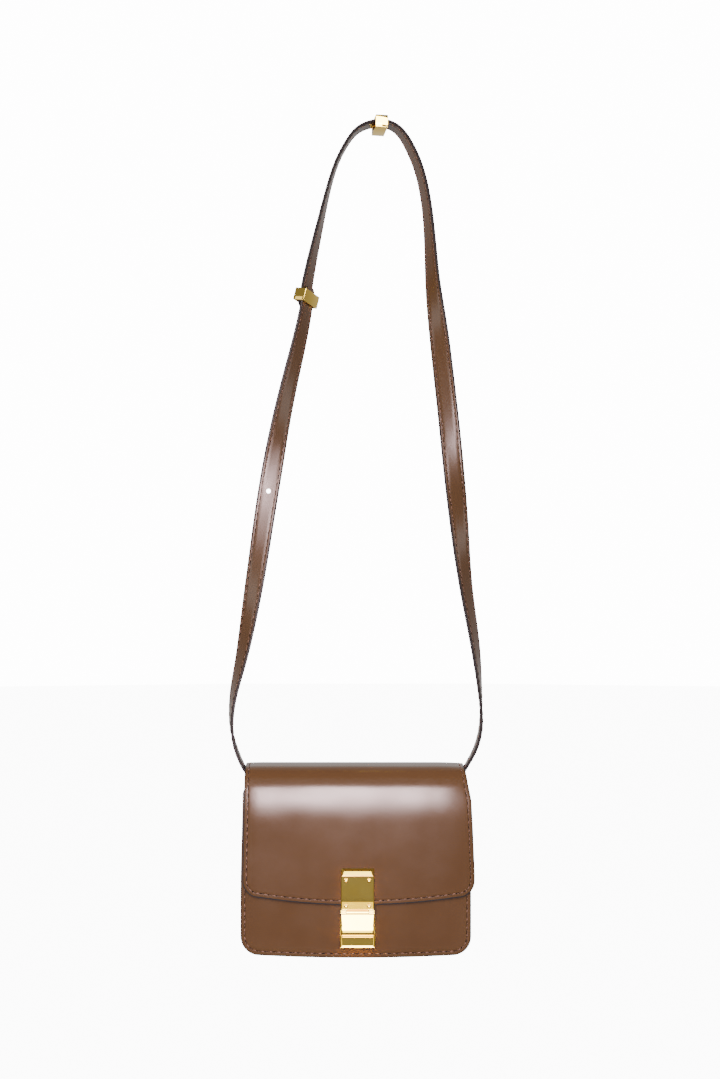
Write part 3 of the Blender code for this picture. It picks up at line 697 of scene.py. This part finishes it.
def flapBending():
    run = flapRun()
    lengths = [0.0]
    for here, after in zip(run, run[1:]):
        lengths.append(lengths[-1] + math.dist(here, after))
    depths, heights = zip(*run)
    # the turn is smoothed from the top on, and the run is laid out again from the front edge
    step = flap["easingStep"]
    at = np.arange(0.0, lengths[-1] + step / 2, step)
    base = np.stack([np.interp(at, lengths, depths), np.interp(at, lengths, heights)])
    turns = np.unwrap(np.arctan2(np.gradient(base[1]), np.gradient(base[0])))
    window = round(flap["easing"] / step)
    padded = np.pad(turns, window, mode="edge")
    smooth = np.convolve(padded, np.ones(window) / window, mode="same")[window:-window]
    middle = int(np.searchsorted(at, lengths[flap["topStart"]]))
    turns[middle:] = smooth[middle:]
    path = base.copy()
    for index in range(len(at) - 2, middle - 1, -1):
        turn = (turns[index] + turns[index + 1]) / 2
        path[:, index] = path[:, index + 1] - step * np.array([math.cos(turn), math.sin(turn)])
    miss = base[:, middle] - path[:, middle]
    fade = np.clip(1 - (at[middle:] - at[middle]) / flap["easingFade"], 0, 1)
    path[:, middle:] += miss[:, None] * fade

    def bend(x, length):
        reach = flap["leftReach"] if x < 0 else flap["rightReach"]
        out = x * float(np.interp(length / lengths[-1], flap["sideRun"], reach))
        turn = float(np.interp(length, at, turns))
        normal = Vector((0, math.sin(turn), -math.cos(turn)))  # outwards, to the right of the run
        place = Vector((bag["offset"] + out, float(np.interp(length, at, path[0])),
                        bag["bottom"] + float(np.interp(length, at, path[1]))))
        return place + normal * (flap["thickness"] - rollDepth(x)), normal

    return bend, lengths


def rollDepth(x):
    run, depth = flap["rollLeft"] if x < 0 else flap["rollRight"]
    share = max(0.0, 1 - (flap["halfWidth"] - abs(x)) / run)
    return depth * share * share


def makeFlap(leather, edge, threadAndHoleShade):
    bend, lengths = flapBending()
    full = lengths[-1]
    # flat, its front edge lies at the low end, with the sag and the corners

    def flatBend(x, y):
        return bend(x, full - y)

    bm, layer, seam = cutSheet(flap["halfWidth"], 0.0, full, flap["corner"], 0.0, flap["edgeSag"])
    crossCut(bm, 0, [step * 0.010 for step in range(-6, 7)])
    crossCut(bm, 0, [side * (flap["halfWidth"] - cut) for side in (-1, 1) for cut in flap["rollCuts"]])
    crossCut(bm, 1, [full - length for length in lengths[1:-1]] + [step * 0.008 for step in range(1, 9)])
    thinned = bm.verts.layers.float.new("thinned")
    for vert in bm.verts:
        vert[thinned] = rollDepth(vert.co.x)
    bendSheet(bm, layer, flatBend, (0, -1, 0.5))
    piece = placePiece("flapLeather", bm, [leather, edge], "bag", "calf_leather", "flap")
    wall = piece.vertex_groups.new(name="wall")
    for vert, item in zip(piece.data.vertices, piece.data.attributes["thinned"].data):
        wall.add([vert.index], 1 - item.value / flap["thickness"], "REPLACE")
    addWall(piece, flap["thickness"], "wall")
    roundRim(piece, flap["rim"])
    sewSheet("flapStitches", seam, flatBend, threadAndHoleShade)


# ---- clasp

clasp = {
    "middle": -0.0176,
    "width": 0.0263,
    "back": -0.0260,
    "front": -0.0292,
    "hingeY": -0.0278,
    "hinge": 0.0371,
    "barrel": 0.0014,
    "earWidth": 0.0044,
    "earRim": 0.00018,
    "plateLow": 0.0388,
    "plateTop": 0.0694,
    "plateRim": 0.0009,
    # the plate's front is set back at these heights: from its top, from its low end
    "breaksTop": ((0.0036, 0.0), (0.0023, 0.00013), (0.0, 0.00062)),
    "breaksLow": ((0.0066, 0.0), (0.0008, 0.00025), (0.0, 0.0008)),
    "topNarrow": (0.0009, 0.0017),  # each side of the top facet: its low and its top edge
    "topRise": 0.0019,  # the top face slopes up to the calf
}


def addBox(bm, low, high):
    low, high = Vector(low), Vector(high)
    made = bmesh.ops.create_cube(bm, size=1.0, matrix=Matrix.Translation((low + high) / 2)
                                 @ Matrix.Diagonal((*(high - low), 1)))
    return made["verts"]


def box(low, high):
    bm = bmesh.new()
    addBox(bm, low, high)
    return bm


def addRod(bm, start, end, radius, sides=24):
    start, end = Vector(start), Vector(end)
    turn = Vector((0, 0, 1)).rotation_difference(end - start).to_matrix().to_4x4()
    bmesh.ops.create_cone(bm, cap_ends=True, segments=sides, radius1=radius, radius2=radius,
                          depth=(end - start).length, matrix=Matrix.Translation((start + end) / 2) @ turn)


def uprightEdges(bm, deepest):
    # edges that run mostly upwards and begin in front of a depth
    return [edge for edge in bm.edges if edge.verts[0].co.y < deepest
            and abs((edge.verts[0].co - edge.verts[1].co).normalized().z) > 0.5]


def softenEdges(bm, width, segments=2, angle=30, chosen=None):
    sharp = [edge for edge in (chosen or bm.edges) if edge.is_manifold
             and edge.calc_face_angle(0) > math.radians(angle)]
    bmesh.ops.bevel(bm, geom=sharp, offset=width, offset_type="OFFSET", segments=segments, profile=0.5,
                    affect="EDGES", material=-1, clamp_overlap=True)


def flatten(piece, angle):
    piece.data.set_sharp_from_angle(angle=math.radians(angle))


def cutOut(piece, cutter):
    # boolean difference, then the cutter goes
    tool = bpy.data.objects.new("cutter", bpy.data.meshes.new("cutter"))
    cutter.to_mesh(tool.data)
    cutter.free()
    bpy.context.scene.collection.objects.link(tool)
    for look in piece.data.materials:
        tool.data.materials.append(look)
    cut = piece.modifiers.new("cut", "BOOLEAN")
    cut.object = tool
    cut.operation = "DIFFERENCE"
    cut.solver = "EXACT"
    view = bpy.context.evaluated_depsgraph_get()
    done = bpy.data.meshes.new_from_object(piece.evaluated_get(view))
    piece.modifiers.remove(cut)
    old = piece.data
    piece.data = done
    bpy.data.meshes.remove(old)
    bpy.data.objects.remove(tool)


def makePlate(gold):
    half = clasp["width"] / 2
    base, middle, front = bag["bottom"], clasp["middle"], clasp["front"]
    low, top = base + clasp["plateLow"], base + clasp["plateTop"]
    bm = box((middle - half, front, low), (middle + half, clasp["back"], top))
    breaks = [(top - down, back) for down, back in clasp["breaksTop"]]
    breaks += [(low + up, back) for up, back in clasp["breaksLow"]]
    crossCut(bm, 2, [height for height, back in breaks if low < height < top])
    facetLow = breaks[1][0]
    for vert in bm.verts:
        if vert.co.y < front + 1e-6:
            if vert.co.z > facetLow - 0.0001:
                inwards = clasp["topNarrow"][vert.co.z > top - 1e-6]
                vert.co.x -= math.copysign(inwards, vert.co.x - middle)
            vert.co.y += min(breaks, key=lambda pair: abs(pair[0] - vert.co.z))[1]
        elif vert.co.z > top - 1e-6:
            vert.co.z += clasp["topRise"]
    bm.normal_update()
    softenEdges(bm, clasp["plateRim"], 2, 30, uprightEdges(bm, front + 0.0021))
    plate = placePiece("claspPlate", bm, [gold], "bag", "gold_metal", "clasp_plate")
    sinks = bmesh.new()
    for x, z in screwPlaces():
        addRod(sinks, (x, front - 0.001, z), (x, front + screw["sink"], z), screw["sinkRadius"], 28)
    cutOut(plate, sinks)
    flatten(plate, 1.2)
    ears = bmesh.new()
    hinge, hingeY = base + clasp["hinge"], clasp["hingeY"]
    for side in (-1, 1):
        outer, inner = middle + side * half, middle + side * (half - clasp["earWidth"])
        addRod(ears, (outer, hingeY, hinge), (inner, hingeY, hinge), clasp["barrel"])
        addBox(ears, (min(outer, inner), hingeY - 0.0010, hinge + 0.0006),
               (max(outer, inner), clasp["back"] - 0.0001, low + 0.0010))
    softenEdges(ears, clasp["earRim"], 2, 40)
    flatten(placePiece("claspEars", ears, [gold], "bag", "gold_metal"), 40)


screw = {
    "radius": 0.0016,
    "sinkRadius": 0.0018,
    "sink": 0.0015,
    "front": 0.0002,  # behind the plate's face
    "back": 0.0012,
    "side": 0.0041,  # in from the plate's sides
    "fromTop": 0.0069,
    "fromLow": 0.0036,
    # the head's rings: inwards, up
    "rings": ((0.00015, 0), (0.00030, -0.00028), (0.00015, 0), (0.00030, 0.00025), (0.00030, 0.00010)),
    "slotHalf": (0.0007, 0.00014),
    "slotDepth": 0.00022,
}


def screwPlaces():
    out = clasp["width"] / 2 - screw["side"]
    heights = clasp["plateTop"] - screw["fromTop"], clasp["plateLow"] + screw["fromLow"]
    return [(clasp["middle"] + side * out, bag["bottom"] + height) for height in heights for side in (-1, 1)]


def makeScrews(gold):
    front = clasp["front"]
    slotX, slotZ = screw["slotHalf"]
    for index, (x, z) in enumerate(screwPlaces(), 1):
        bm = bmesh.new()
        addRod(bm, (x, front + screw["front"], z), (x, front + screw["back"], z), screw["radius"], 28)
        face = min(bm.faces, key=lambda side: side.calc_center_median().y)
        for inwards, up in screw["rings"]:
            bmesh.ops.inset_region(bm, faces=[face], thickness=inwards, depth=0)
            bmesh.ops.translate(bm, verts=face.verts, vec=(0, -up, 0))
        head = placePiece(f"claspScrew{index}", bm, [gold], "bag", "gold_metal", f"clasp_screw_{index}")
        slot = box((x - slotX, front - 0.001, z - slotZ), (x + slotX, front + screw["slotDepth"], z + slotZ))
        bmesh.ops.rotate(slot, verts=slot.verts, cent=(x, 0, z),
                         matrix=Matrix.Rotation(math.radians(35 + 47 * index), 3, "Y"))
        cutOut(head, slot)
        flatten(head, 30)


lever = {
    "thickness": 0.0026,
    "dish": 0.0013,
    "cuts": (0.0009, 0.0060, 0.0105),  # below its top
    "taper": 0.0010,  # each side, down to the lip
    "sideRim": 0.0005,
    "knuckleFront": 0.00138,
    "knuckleLow": 0.0015,
    "knuckleHigh": 0.0009,
    "knuckleTilt": 0.00010,
    "ramp": 0.0031,  # from the dish out to the lip
    "rampBack": 0.0004,  # its middle, in front of the dish
    "rampOut": 0.0010,
    "low": 0.0096,  # the lip's lowest edge
    "lipHeight": 0.0100,
    "lipWidth": 0.0272,
    "lipReach": 0.0020,
    "lipRim": 0.0008,
    "panelRings": (0.0006, 0.0007),
    "panelDepth": 0.0005,
    "panelTilt": 0.00011,  # the sunk panel looks up a little
}


def makeLever(gold):
    half = clasp["width"] / 2
    base, middle, front = bag["bottom"], clasp["middle"], clasp["front"]
    back = front + lever["thickness"]
    top = base + clasp["hinge"] - clasp["barrel"] - bag["gap"]
    low = base + lever["low"]
    lipTop = low + lever["lipHeight"]
    rampTop = lipTop + lever["ramp"]
    bm = box((middle - half, front, lipTop - 0.002), (middle + half, back, top))
    crossCut(bm, 2, [rampTop, (lipTop + rampTop) / 2] + [top - down for down in lever["cuts"]])
    for vert in bm.verts:
        down = (top - vert.co.z) / (top - rampTop)
        if vert.co.y < front + 1e-6:
            if vert.co.z >= rampTop - 1e-6:
                vert.co.y += lever["dish"] * min(1.0, down)
            elif vert.co.z > lipTop:
                vert.co.y += lever["dish"] - lever["rampBack"]
            else:
                vert.co.y -= lever["rampOut"]
            vert.co.x -= math.copysign(lever["taper"] * min(1.0, max(0.0, down)), vert.co.x - middle)
    bm.normal_update()
    softenEdges(bm, lever["sideRim"], 2, 30, uprightEdges(bm, back - 0.0005))
    inner = half - clasp["earWidth"] - bag["gap"]
    left, right = middle - inner, middle + inner
    hinge, hingeY = base + clasp["hinge"], clasp["hingeY"]
    addRod(bm, (left, hingeY, hinge), (right, hingeY, hinge), clasp["barrel"])
    addBox(bm, (left, hingeY - 0.0010, top - 0.0010), (right, back - 0.0003, hinge - 0.0006))
    knuckle = addBox(bm, (left, hingeY - lever["knuckleFront"], hinge - lever["knuckleLow"]),
                     (right, hingeY, hinge + lever["knuckleHigh"]))
    for vert in knuckle:
        if vert.co.z < hinge and vert.co.y < hingeY - 0.001:
            vert.co.y += lever["knuckleTilt"]
    flatten(placePiece("claspLever", bm, [gold], "lever", "gold_metal", "clasp_lever"), 12)

    lipHalf = lever["lipWidth"] / 2
    lip = box((middle - lipHalf, front - lever["lipReach"], low), (middle + lipHalf, back, lipTop))
    lip.normal_update()
    face = min(lip.faces, key=lambda side: side.calc_center_median().y)
    bmesh.ops.bevel(lip, geom=list(face.edges), offset=lever["lipRim"], offset_type="OFFSET", segments=2,
                    profile=0.5, affect="EDGES", material=-1)
    lip.normal_update()
    face = min(lip.faces, key=lambda side: side.calc_center_median().y)
    for inwards in lever["panelRings"]:
        bmesh.ops.inset_region(lip, faces=[face], thickness=inwards, depth=0)
    for vert in face.verts:
        vert.co.y += lever["panelDepth"] + math.copysign(lever["panelTilt"], vert.co.z - (low + lipTop) / 2)
    lip.normal_update()
    flatten(placePiece("leverLip", lip, [gold], "lever", "gold_metal"), 12)


# ---- strap

strap = {
    "width": 0.0170,
    "thickness": 0.0024,
    "drop": 0.5136,  # from the hang point to the flap's top
    "sideGap": 0.0007,
    "tab": 0.0280,  # the sewn end's length
    "easeReach": 8,  # millimetres to each side, twice
    "easeFrom": 0.0550,  # no easing this near the ends
    "easeRun": 0.0200,
    "rowStep": 0.0025,
    "tipCorner": 0.0060,
    "tipRows": (0.0002, 0.0006, 0.0012, 0.0020, 0.0035, 0.0060),
    "buckleDrop": 0.1401,
    "lapLong": 0.0080,  # past the buckle
    "lapShort": 0.0090,
    "lapFlat": 0.0100,
    "spreadRun": 0.0600,
    "layerStep": 0.0027,
    "holeDrop": 0.2951,
    "holeRadius": 0.0018,
    "edgeFrom": 0.00715,  # painted from here out
    "stitchInset": 0.0028,
    "stitchLift": 0.00108,
    "stitchTip": 0.0070,  # free of stitches at the tip, then at the sewn end
    "stitchEnd": 0.0030,
    # one quarter of the section: out from the middle, up from the middle
    "quarter": ((0.0, 0.00120), (0.0030, 0.00120), (0.0052, 0.00120), (0.0057, 0.00106), (0.0062, 0.00119),
                (0.0072, 0.00116), (0.0079, 0.00100), (0.0083, 0.00066), (0.0085, 0.00022)),
}

strapRun = (
    # drop, left reach, left turn, right reach, right turn
    (0.001, 0.081, 6, 0.139, 10),
    (0.010, 0.180, 4, 0.238, 13),
    (0.029, 0.236, 2, 0.320, 17),
    (0.048, 0.291, 2, 0.396, 19),
    (0.076, 0.342, 4, 0.472, 20),
    (0.120, 0.398, 8, 0.541, 22),
    (0.182, 0.461, 17, 0.587, 28),
    (0.245, 0.516, 26, 0.617, 40),
    (0.338, 0.594, 39, 0.699, 67),
    (0.464, 0.725, 59, 0.805, 81),
    (0.589, 0.829, 93, 0.899, 106),
    (0.714, 0.918, 115, 0.995, 139),
    (0.839, 1.020, 146, 1.135, 159),
    (0.901, 1.083, 162, 1.176, 174),
    (0.933, 1.094, 170, 1.187, 180),
    (0.956, 1.087, 176, 1.170, 182),
    (0.975, 1.063, 180, 1.126, 182),
)


def sideEdge(side):
    reach = flap["leftReach"][0] if side < 0 else flap["rightReach"][0]
    return bag["offset"] + side * (flap["halfWidth"] * reach + strap["sideGap"] + strap["thickness"] / 2)


def sewnEnd(side):
    points = [(sideEdge(side), -strap["drop"] - flap["crown"] - flap["thickness"], 180)]
    lean = math.atan(gusset["fold"] / gusset["foldLength"])
    inner = (gusset["wall"] + strap["thickness"] / 2) / math.cos(lean) + bag["gap"] * 2
    for share in (-0.15, 0.10, 0.40, 0.70, 1.0):
        height = gusset["top"] - strap["tab"] * share
        fold = gusset["fold"] * (1 - (gusset["top"] - height) / gusset["foldLength"])
        inset = gusset["flange"] + fold + inner
        points.append((bag["offset"] + side * (panel["halfWidth"] - inset), bag["bottom"] + height, 180))
    return points


def strapLine():
    # the whole centre line from the right sewn end over the top to the left, read every millimetre
    right = [(sideEdge(1) * row[3], -row[0] * strap["drop"], row[4]) for row in strapRun]
    left = [(sideEdge(-1) * row[1], -row[0] * strap["drop"], row[2]) for row in strapRun]
    points = np.array((right + sewnEnd(1))[::-1] + [(0.0, strap["thickness"] / 2, 8)] + left + sewnEnd(-1))
    chords = np.linalg.norm(np.diff(points[:, :2], axis=0), axis=1)
    knots = np.concatenate([[0.0], np.cumsum(chords)])
    slopes = np.gradient(points, knots, axis=0)
    at = np.linspace(0.0, knots[-1], int(knots[-1] / 0.001) + 1)
    part = np.clip(np.searchsorted(knots, at, side="right") - 1, 0, len(knots) - 2)
    span = (knots[part + 1] - knots[part])[:, None]
    t = (at - knots[part])[:, None] / span
    line = (2 * t**3 - 3 * t**2 + 1) * points[part] + (t**3 - 2 * t**2 + t) * slopes[part] * span
    line += (3 * t**2 - 2 * t**3) * points[part + 1] + (t**3 - t**2) * slopes[part + 1] * span
    reach = strap["easeReach"]
    kernel = np.ones(2 * reach + 1) / (2 * reach + 1)
    eased = np.pad(line, ((2 * reach, 2 * reach), (0, 0)), mode="edge")
    for turn in range(2):
        eased = np.stack([np.convolve(column, kernel, "same") for column in eased.T], axis=1)
    eased = eased[2 * reach:-2 * reach]
    fromEnd = np.minimum(at, at[-1] - at)
    share = np.clip((fromEnd - strap["easeFrom"]) / strap["easeRun"], 0, 1)[:, None]
    line = line * (1 - share) + eased * share
    steps = np.linalg.norm(np.diff(line[:, :2], axis=0), axis=1)
    lengths = np.concatenate([[0.0], np.cumsum(steps)])
    return lengths, line, np.gradient(line[:, :2], lengths, axis=0)


def strapPlace(route, length):
    # place, then the directions along, across and out of its face
    lengths, line, tangents = route
    x, z, turn = (float(np.interp(length, lengths, line[:, column])) for column in range(3))
    along = Vector((float(np.interp(length, lengths, tangents[:, 0])), 0,
                    float(np.interp(length, lengths, tangents[:, 1])))).normalized()
    turn = math.radians(turn)
    face = Vector((-along.z, 0, along.x)) * math.cos(turn) + Vector((0, -1, 0)) * math.sin(turn)
    return Vector((x, 0, z)), along, along.cross(face), face


def lengthAtDrop(route, drop):
    lengths, line, tangents = route
    top = int(np.argmax(line[:, 1]))
    return float(np.interp(drop, -line[top:, 1], lengths[top:]))


def layerLift(route, length, layer):
    # the two straps lie beside each other in the buckle, and each comes back to the line
    away = max(0.0, abs(length - lengthAtDrop(route, strap["buckleDrop"])) - strap["lapFlat"])
    return layer * strap["layerStep"] / 2 * (1 - smoothStep(min(1.0, away / strap["spreadRun"])))


def makeStrap(name, node, route, start, end, tip, layer, leather, edge, threadAndHoleShade):
    quarter = strap["quarter"]
    section = [(w, n) for w, n in quarter] + [(w, -n) for w, n in reversed(quarter)]
    section += [(-w, -n) for w, n in quarter[1:]] + [(-w, n) for w, n in reversed(quarter[1:])]
    inwards = 1 if tip == start else -1
    count = round((end - start) / strap["rowStep"])
    rows = sorted({start + (end - start) * step / count for step in range(count + 1)}
                  | {tip + inwards * reach for reach in strap["tipRows"]})
    places = []
    for length in rows:
        place, along, across, face = strapPlace(route, length)
        inside = strap["tipCorner"] - min(strap["tipCorner"], abs(length - tip))
        narrow = strap["tipCorner"] - math.sqrt(strap["tipCorner"] ** 2 - inside**2)
        places.append((place + face * layerLift(route, length, layer), across, face, narrow))
    bm = bmesh.new()
    bmesh.ops.create_grid(bm, x_segments=len(section), y_segments=len(rows) - 1, size=1.0)
    for side in bm.faces:
        column = round((side.calc_center_median().x + 1) / 2 * len(section) - 0.5)
        out = min(abs(section[item % len(section)][0]) for item in (column, column + 1))
        side.material_index = 1 if out >= strap["edgeFrom"] else 0
    for vert in bm.verts:
        w, n = section[round((vert.co.x + 1) / 2 * len(section)) % len(section)]
        place, across, face, narrow = places[round((vert.co.y + 1) / 2 * (len(rows) - 1))]
        w *= 1 - narrow / (strap["width"] / 2)
        vert.co = place + across * w + face * n
    bmesh.ops.remove_doubles(bm, verts=bm.verts, dist=1e-6)
    ends = bmesh.ops.holes_fill(bm, edges=[item for item in bm.edges if item.is_boundary], sides=0)
    for side in ends["faces"]:
        side.material_index = 1
    bmesh.ops.recalc_face_normals(bm, faces=bm.faces)
    piece = placePiece(name, bm, [leather, edge], "bag", "calf_leather", node)
    flatten(piece, 50)

    sewing = bmesh.new()
    first = start + strap["stitchTip" if tip == start else "stitchEnd"]
    last = end - strap["stitchTip" if tip == end else "stitchEnd"]
    steps = round((last - first) / strap["rowStep"])
    out = strap["width"] / 2 - strap["stitchInset"]
    for side in (-1, 1):
        for up in (-1, 1):
            line = []
            for step in range(steps + 1):
                length = first + (last - first) * step / steps
                place, along, across, face = strapPlace(route, length)
                lifted = layerLift(route, length, layer) + up * strap["stitchLift"]
                line.append((place + across * side * out + face * lifted, face * up))
            sewAlong(sewing, line)
    placePiece(name + "Stitches", sewing, threadAndHoleShade, "bag", "thread")
    return piece


def makeStraps(leather, edge, threadAndHoleShade):
    route = strapLine()
    buckle = lengthAtDrop(route, strap["buckleDrop"])
    longTip, shortTip = buckle + strap["lapLong"], buckle - strap["lapShort"]
    end = float(route[0][-1])
    makeStrap("longStrap", "strap_long", route, 0.0, longTip, longTip, -1, leather, edge, threadAndHoleShade)
    short = makeStrap("shortStrap", "strap_short", route, shortTip, end, shortTip, 1, leather, edge, threadAndHoleShade)
    place, along, across, face = strapPlace(route, lengthAtDrop(route, strap["holeDrop"]))
    hole = bmesh.new()
    addRod(hole, place - face * 0.01, place + face * 0.01, strap["holeRadius"])
    cutOut(short, hole)
    flatten(short, 50)
    return route


loop = {
    "width": 0.0224,
    "length": 0.0100,
    "depth": 0.0101,
    "wall": 0.0012,
    "rim": 0.00035,
    "tilt": math.radians(8),
    "rest": 0.0009,  # the keeper hangs this clear of the strap
}


def makeLoop(name, node, spot, lift, gold):
    place, along, across, face = spot
    bm = bmesh.new()
    size = loop["width"], loop["length"], loop["depth"]
    bmesh.ops.create_cube(bm, size=1.0, matrix=Matrix.Diagonal((*size, 1)))
    bm.normal_update()
    ends = [side for side in bm.faces if abs(side.normal.y) > 0.5]
    bmesh.ops.delete(bm, geom=ends, context="FACES_ONLY")
    bmesh.ops.solidify(bm, geom=bm.faces[:], thickness=loop["wall"])
    bmesh.ops.recalc_face_normals(bm, faces=bm.faces)
    softenEdges(bm, loop["rim"], 3)
    turnedAcross = across * math.cos(loop["tilt"]) - along * math.sin(loop["tilt"])
    turnedAlong = along * math.cos(loop["tilt"]) + across * math.sin(loop["tilt"])
    turn = Matrix((turnedAcross, turnedAlong, face)).transposed().to_4x4()
    bm.transform(Matrix.Translation(place + face * lift) @ turn)
    bmesh.ops.recalc_face_normals(bm, faces=bm.faces)
    flatten(placePiece(name, bm, [gold], "bag", "gold_metal", node), 35)


def makeLoops(route, gold):
    buckle = lengthAtDrop(route, strap["buckleDrop"])
    makeLoop("buckleLoop", "strap_buckle", strapPlace(route, buckle), 0.0, gold)
    top = float(route[0][int(np.argmax(route[1][:, 1]))])
    lift = loop["depth"] / 2 - loop["wall"] - strap["thickness"] / 2 - loop["rest"]
    makeLoop("keeperLoop", "strap_keeper", strapPlace(route, top), lift, gold)


goldPieces = bpy.data.collections.new("goldPieces")
sheenPieces = bpy.data.collections.new("sheenPieces")
makeCamera()
makeStudio(goldPieces, sheenPieces)
print("camera and studio ready")

leather = smoothCalf("smoothCalf")
edge = paintedEdge()
gold = polishedGold()
threadAndHoleShade = [waxedThread(), paintedHoleShade()]

makePanels(leather, edge, threadAndHoleShade)
makeGusset(leather, edge)
makeFlap(leather, edge, threadAndHoleShade)
print("body and flap ready")

makePlate(gold)
makeScrews(gold)
makeLever(gold)
print("clasp ready")

route = makeStraps(smoothCalf("strapCalf", 0.78, 0.09), edge, threadAndHoleShade)
makeLoops(route, gold)
print("strap ready")

for name in ("clasp_hinge_pin", "clasp_catch", "strap_stud"):
    nodes[name].data.materials.clear()
    nodes[name].data.materials.append(gold)
for piece in bpy.context.scene.objects:
    if piece.type == "MESH" and gold.name in piece.data.materials:
        goldPieces.objects.link(piece)
sheenPieces.objects.link(bpy.data.objects["shortStrap"])
